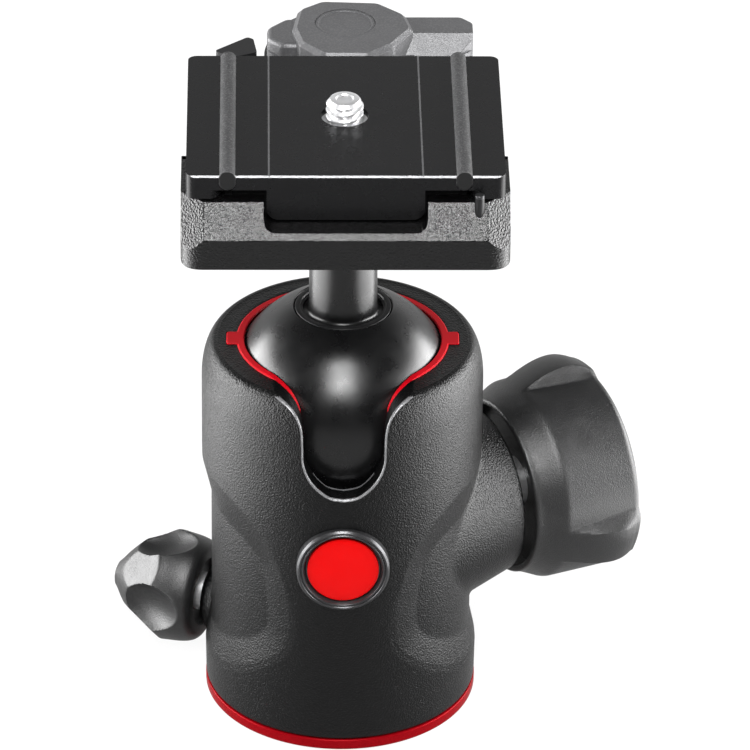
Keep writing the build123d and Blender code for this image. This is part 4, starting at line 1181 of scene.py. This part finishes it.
# %% Camera screw with its thread
THREAD_PITCH, ROOT_R, TOOTH = 1.27, 2.52, 0.64
levels = np.arange(105.9, 113.95, 0.09)
head_line = [(0, 103.9), (0.8, 103.9), (7.6, 103.9), (8.0, 104.2), (8.0, 105.3), (7.6, 105.7),
             (3.3, 105.7)]
end_line = [(2.9, 114.1), (2.55, 114.4), (2.3, 114.45), (1.55, 114.45), (1.3, 114.2), (0, 114.15)]
screw = spun("camera_thread", head_line + [(3.1, z) for z in levels] + end_line, 96, closed=False)
points, radius, angle, level = polar(screw)
phase = (level / THREAD_PITCH + angle / 360) % 1.0
tooth = np.abs(phase * 2 - 1)
wanted = ROOT_R + TOOTH * np.clip(tooth * 1.5 - 0.25, 0, 1)
wanted = np.minimum(wanted, np.interp(level, [113.4, 114.1, 114.45], [3.2, 2.7, 2.45]))
threaded = (radius > 2.35) & (radius < 3.25) & (level > 105.8) & (level < 114.43)
press(screw, points, radius, wanted, threaded)
cut(screw, block((0, 0, 103.9), (20, 1.6, 2.2)))
smooth(screw, 35)
put(screw, "camera_screw", "camera_screw", "steel")

# %% [markdown]
# ## Lever and catch
# The lever is a grey die casting: a bevelled hub with a plain round place, a long arm with a
# ridge and a short stub. The three are slabs with edges of their own that booleans join, so
# each keeps its own bevel. The cam below them is a copy of the solid, cut off under the hub.

# %% Lever: hub, arm and stub
PIVOT = (0.5, 35.0)
LEVER_LOW = 105.0
hub_line = soften([(-8.6, 33.2), (-7.4, 27.6), (-3.4, 23.0), (4.6, 23.0), (8.8, 27.0),
                   (12.2, 33.0), (11.0, 38.6), (6.4, 43.0), (-3.6, 43.6), (-7.6, 40.4)],
                  [1.5, 1.5, 2, 2, 2, 1.5, 2.5, 3, 3, 2.5], 6)
hub = slab("lever_cast", hub_line, LEVER_LOW, 110.5)
soft_edges(hub, 0.8, 60, 1)
arm_line = soften([(2, 30.4), (19.6, 30.4), (22.4, 32.6), (22.4, 37.0), (20.4, 39.2), (2, 39.2)],
                  [0, 1.5, 1.5, 1.5, 1.5, 0], 5)
arm = slab("arm", arm_line, LEVER_LOW, 109.4)
slice_off(arm, (0, 33.4, 109.4), (0, -1.0, 1.35))
soft_edges(arm, 0.5, 30, 3)
stub_line = soften([(-2, 29.6), (-10.2, 29.6), (-12.9, 32.4), (-12.9, 36.2), (-9.8, 39.6),
                    (-2, 39.6)], [0, 2, 2, 2, 2, 0], 5)
stub = slab("stub", stub_line, LEVER_LOW, 109.0)
soft_edges(stub, 0.9, 60, 3)
cut(hub, arm, "UNION")
cut(hub, stub, "UNION")
print("lever faces", len(hub.data.polygons))

# %% Lever: bores and cam
cut(hub, rod((*PIVOT, 110.5), 5.2, 3, 96))
cut(hub, rod((*PIVOT, 106), 3.06, 12, 64))
soft_edges(hub, 0.18, 45, 2)
lower = cad_copy("lever", "lever_lower")
slice_off(lower, (0, 0, 106.55), (0, 0, 1))
wake(hub)
lower.select_set(True)
bpy.ops.object.join()
smooth(hub, 32, flats=True)
put(hub, "lever", "lever", "lever_grey")

# %% [markdown]
# A plain round cap closes the bore over the pivot, and the safety catch is a small tab of
# black plastic beside the lever's stub. The cap is spun and moved to the pivot's axis; the
# catch only needs the edges of its solid softened.

# %% Cap over the pivot
cap_line = soften([(0, 109.8), (5.15, 109.8), (5.15, 110.4), (4.7, 110.4), (4.5, 110.25),
                   (0, 110.25)], [0, 0, 0.15, 0.08, 0.08, 0], 3)
pivot_cap = spun("pivot_cap", cap_line, 128)
pivot_cap.data.transform(Matrix.Translation((PIVOT[0] * MM, PIVOT[1] * MM, 0)))
smooth(pivot_cap, 40)
put(pivot_cap, "lever_cap", "lever", "lever_grey")

# %% Catch
catch = cad_copy("safety_catch", "catch_tab")
soft_edges(catch, 0.25, 40, 3)
smooth(catch, 40, flats=True)
put(catch, "safety_catch", "safety_catch", "black_plastic")
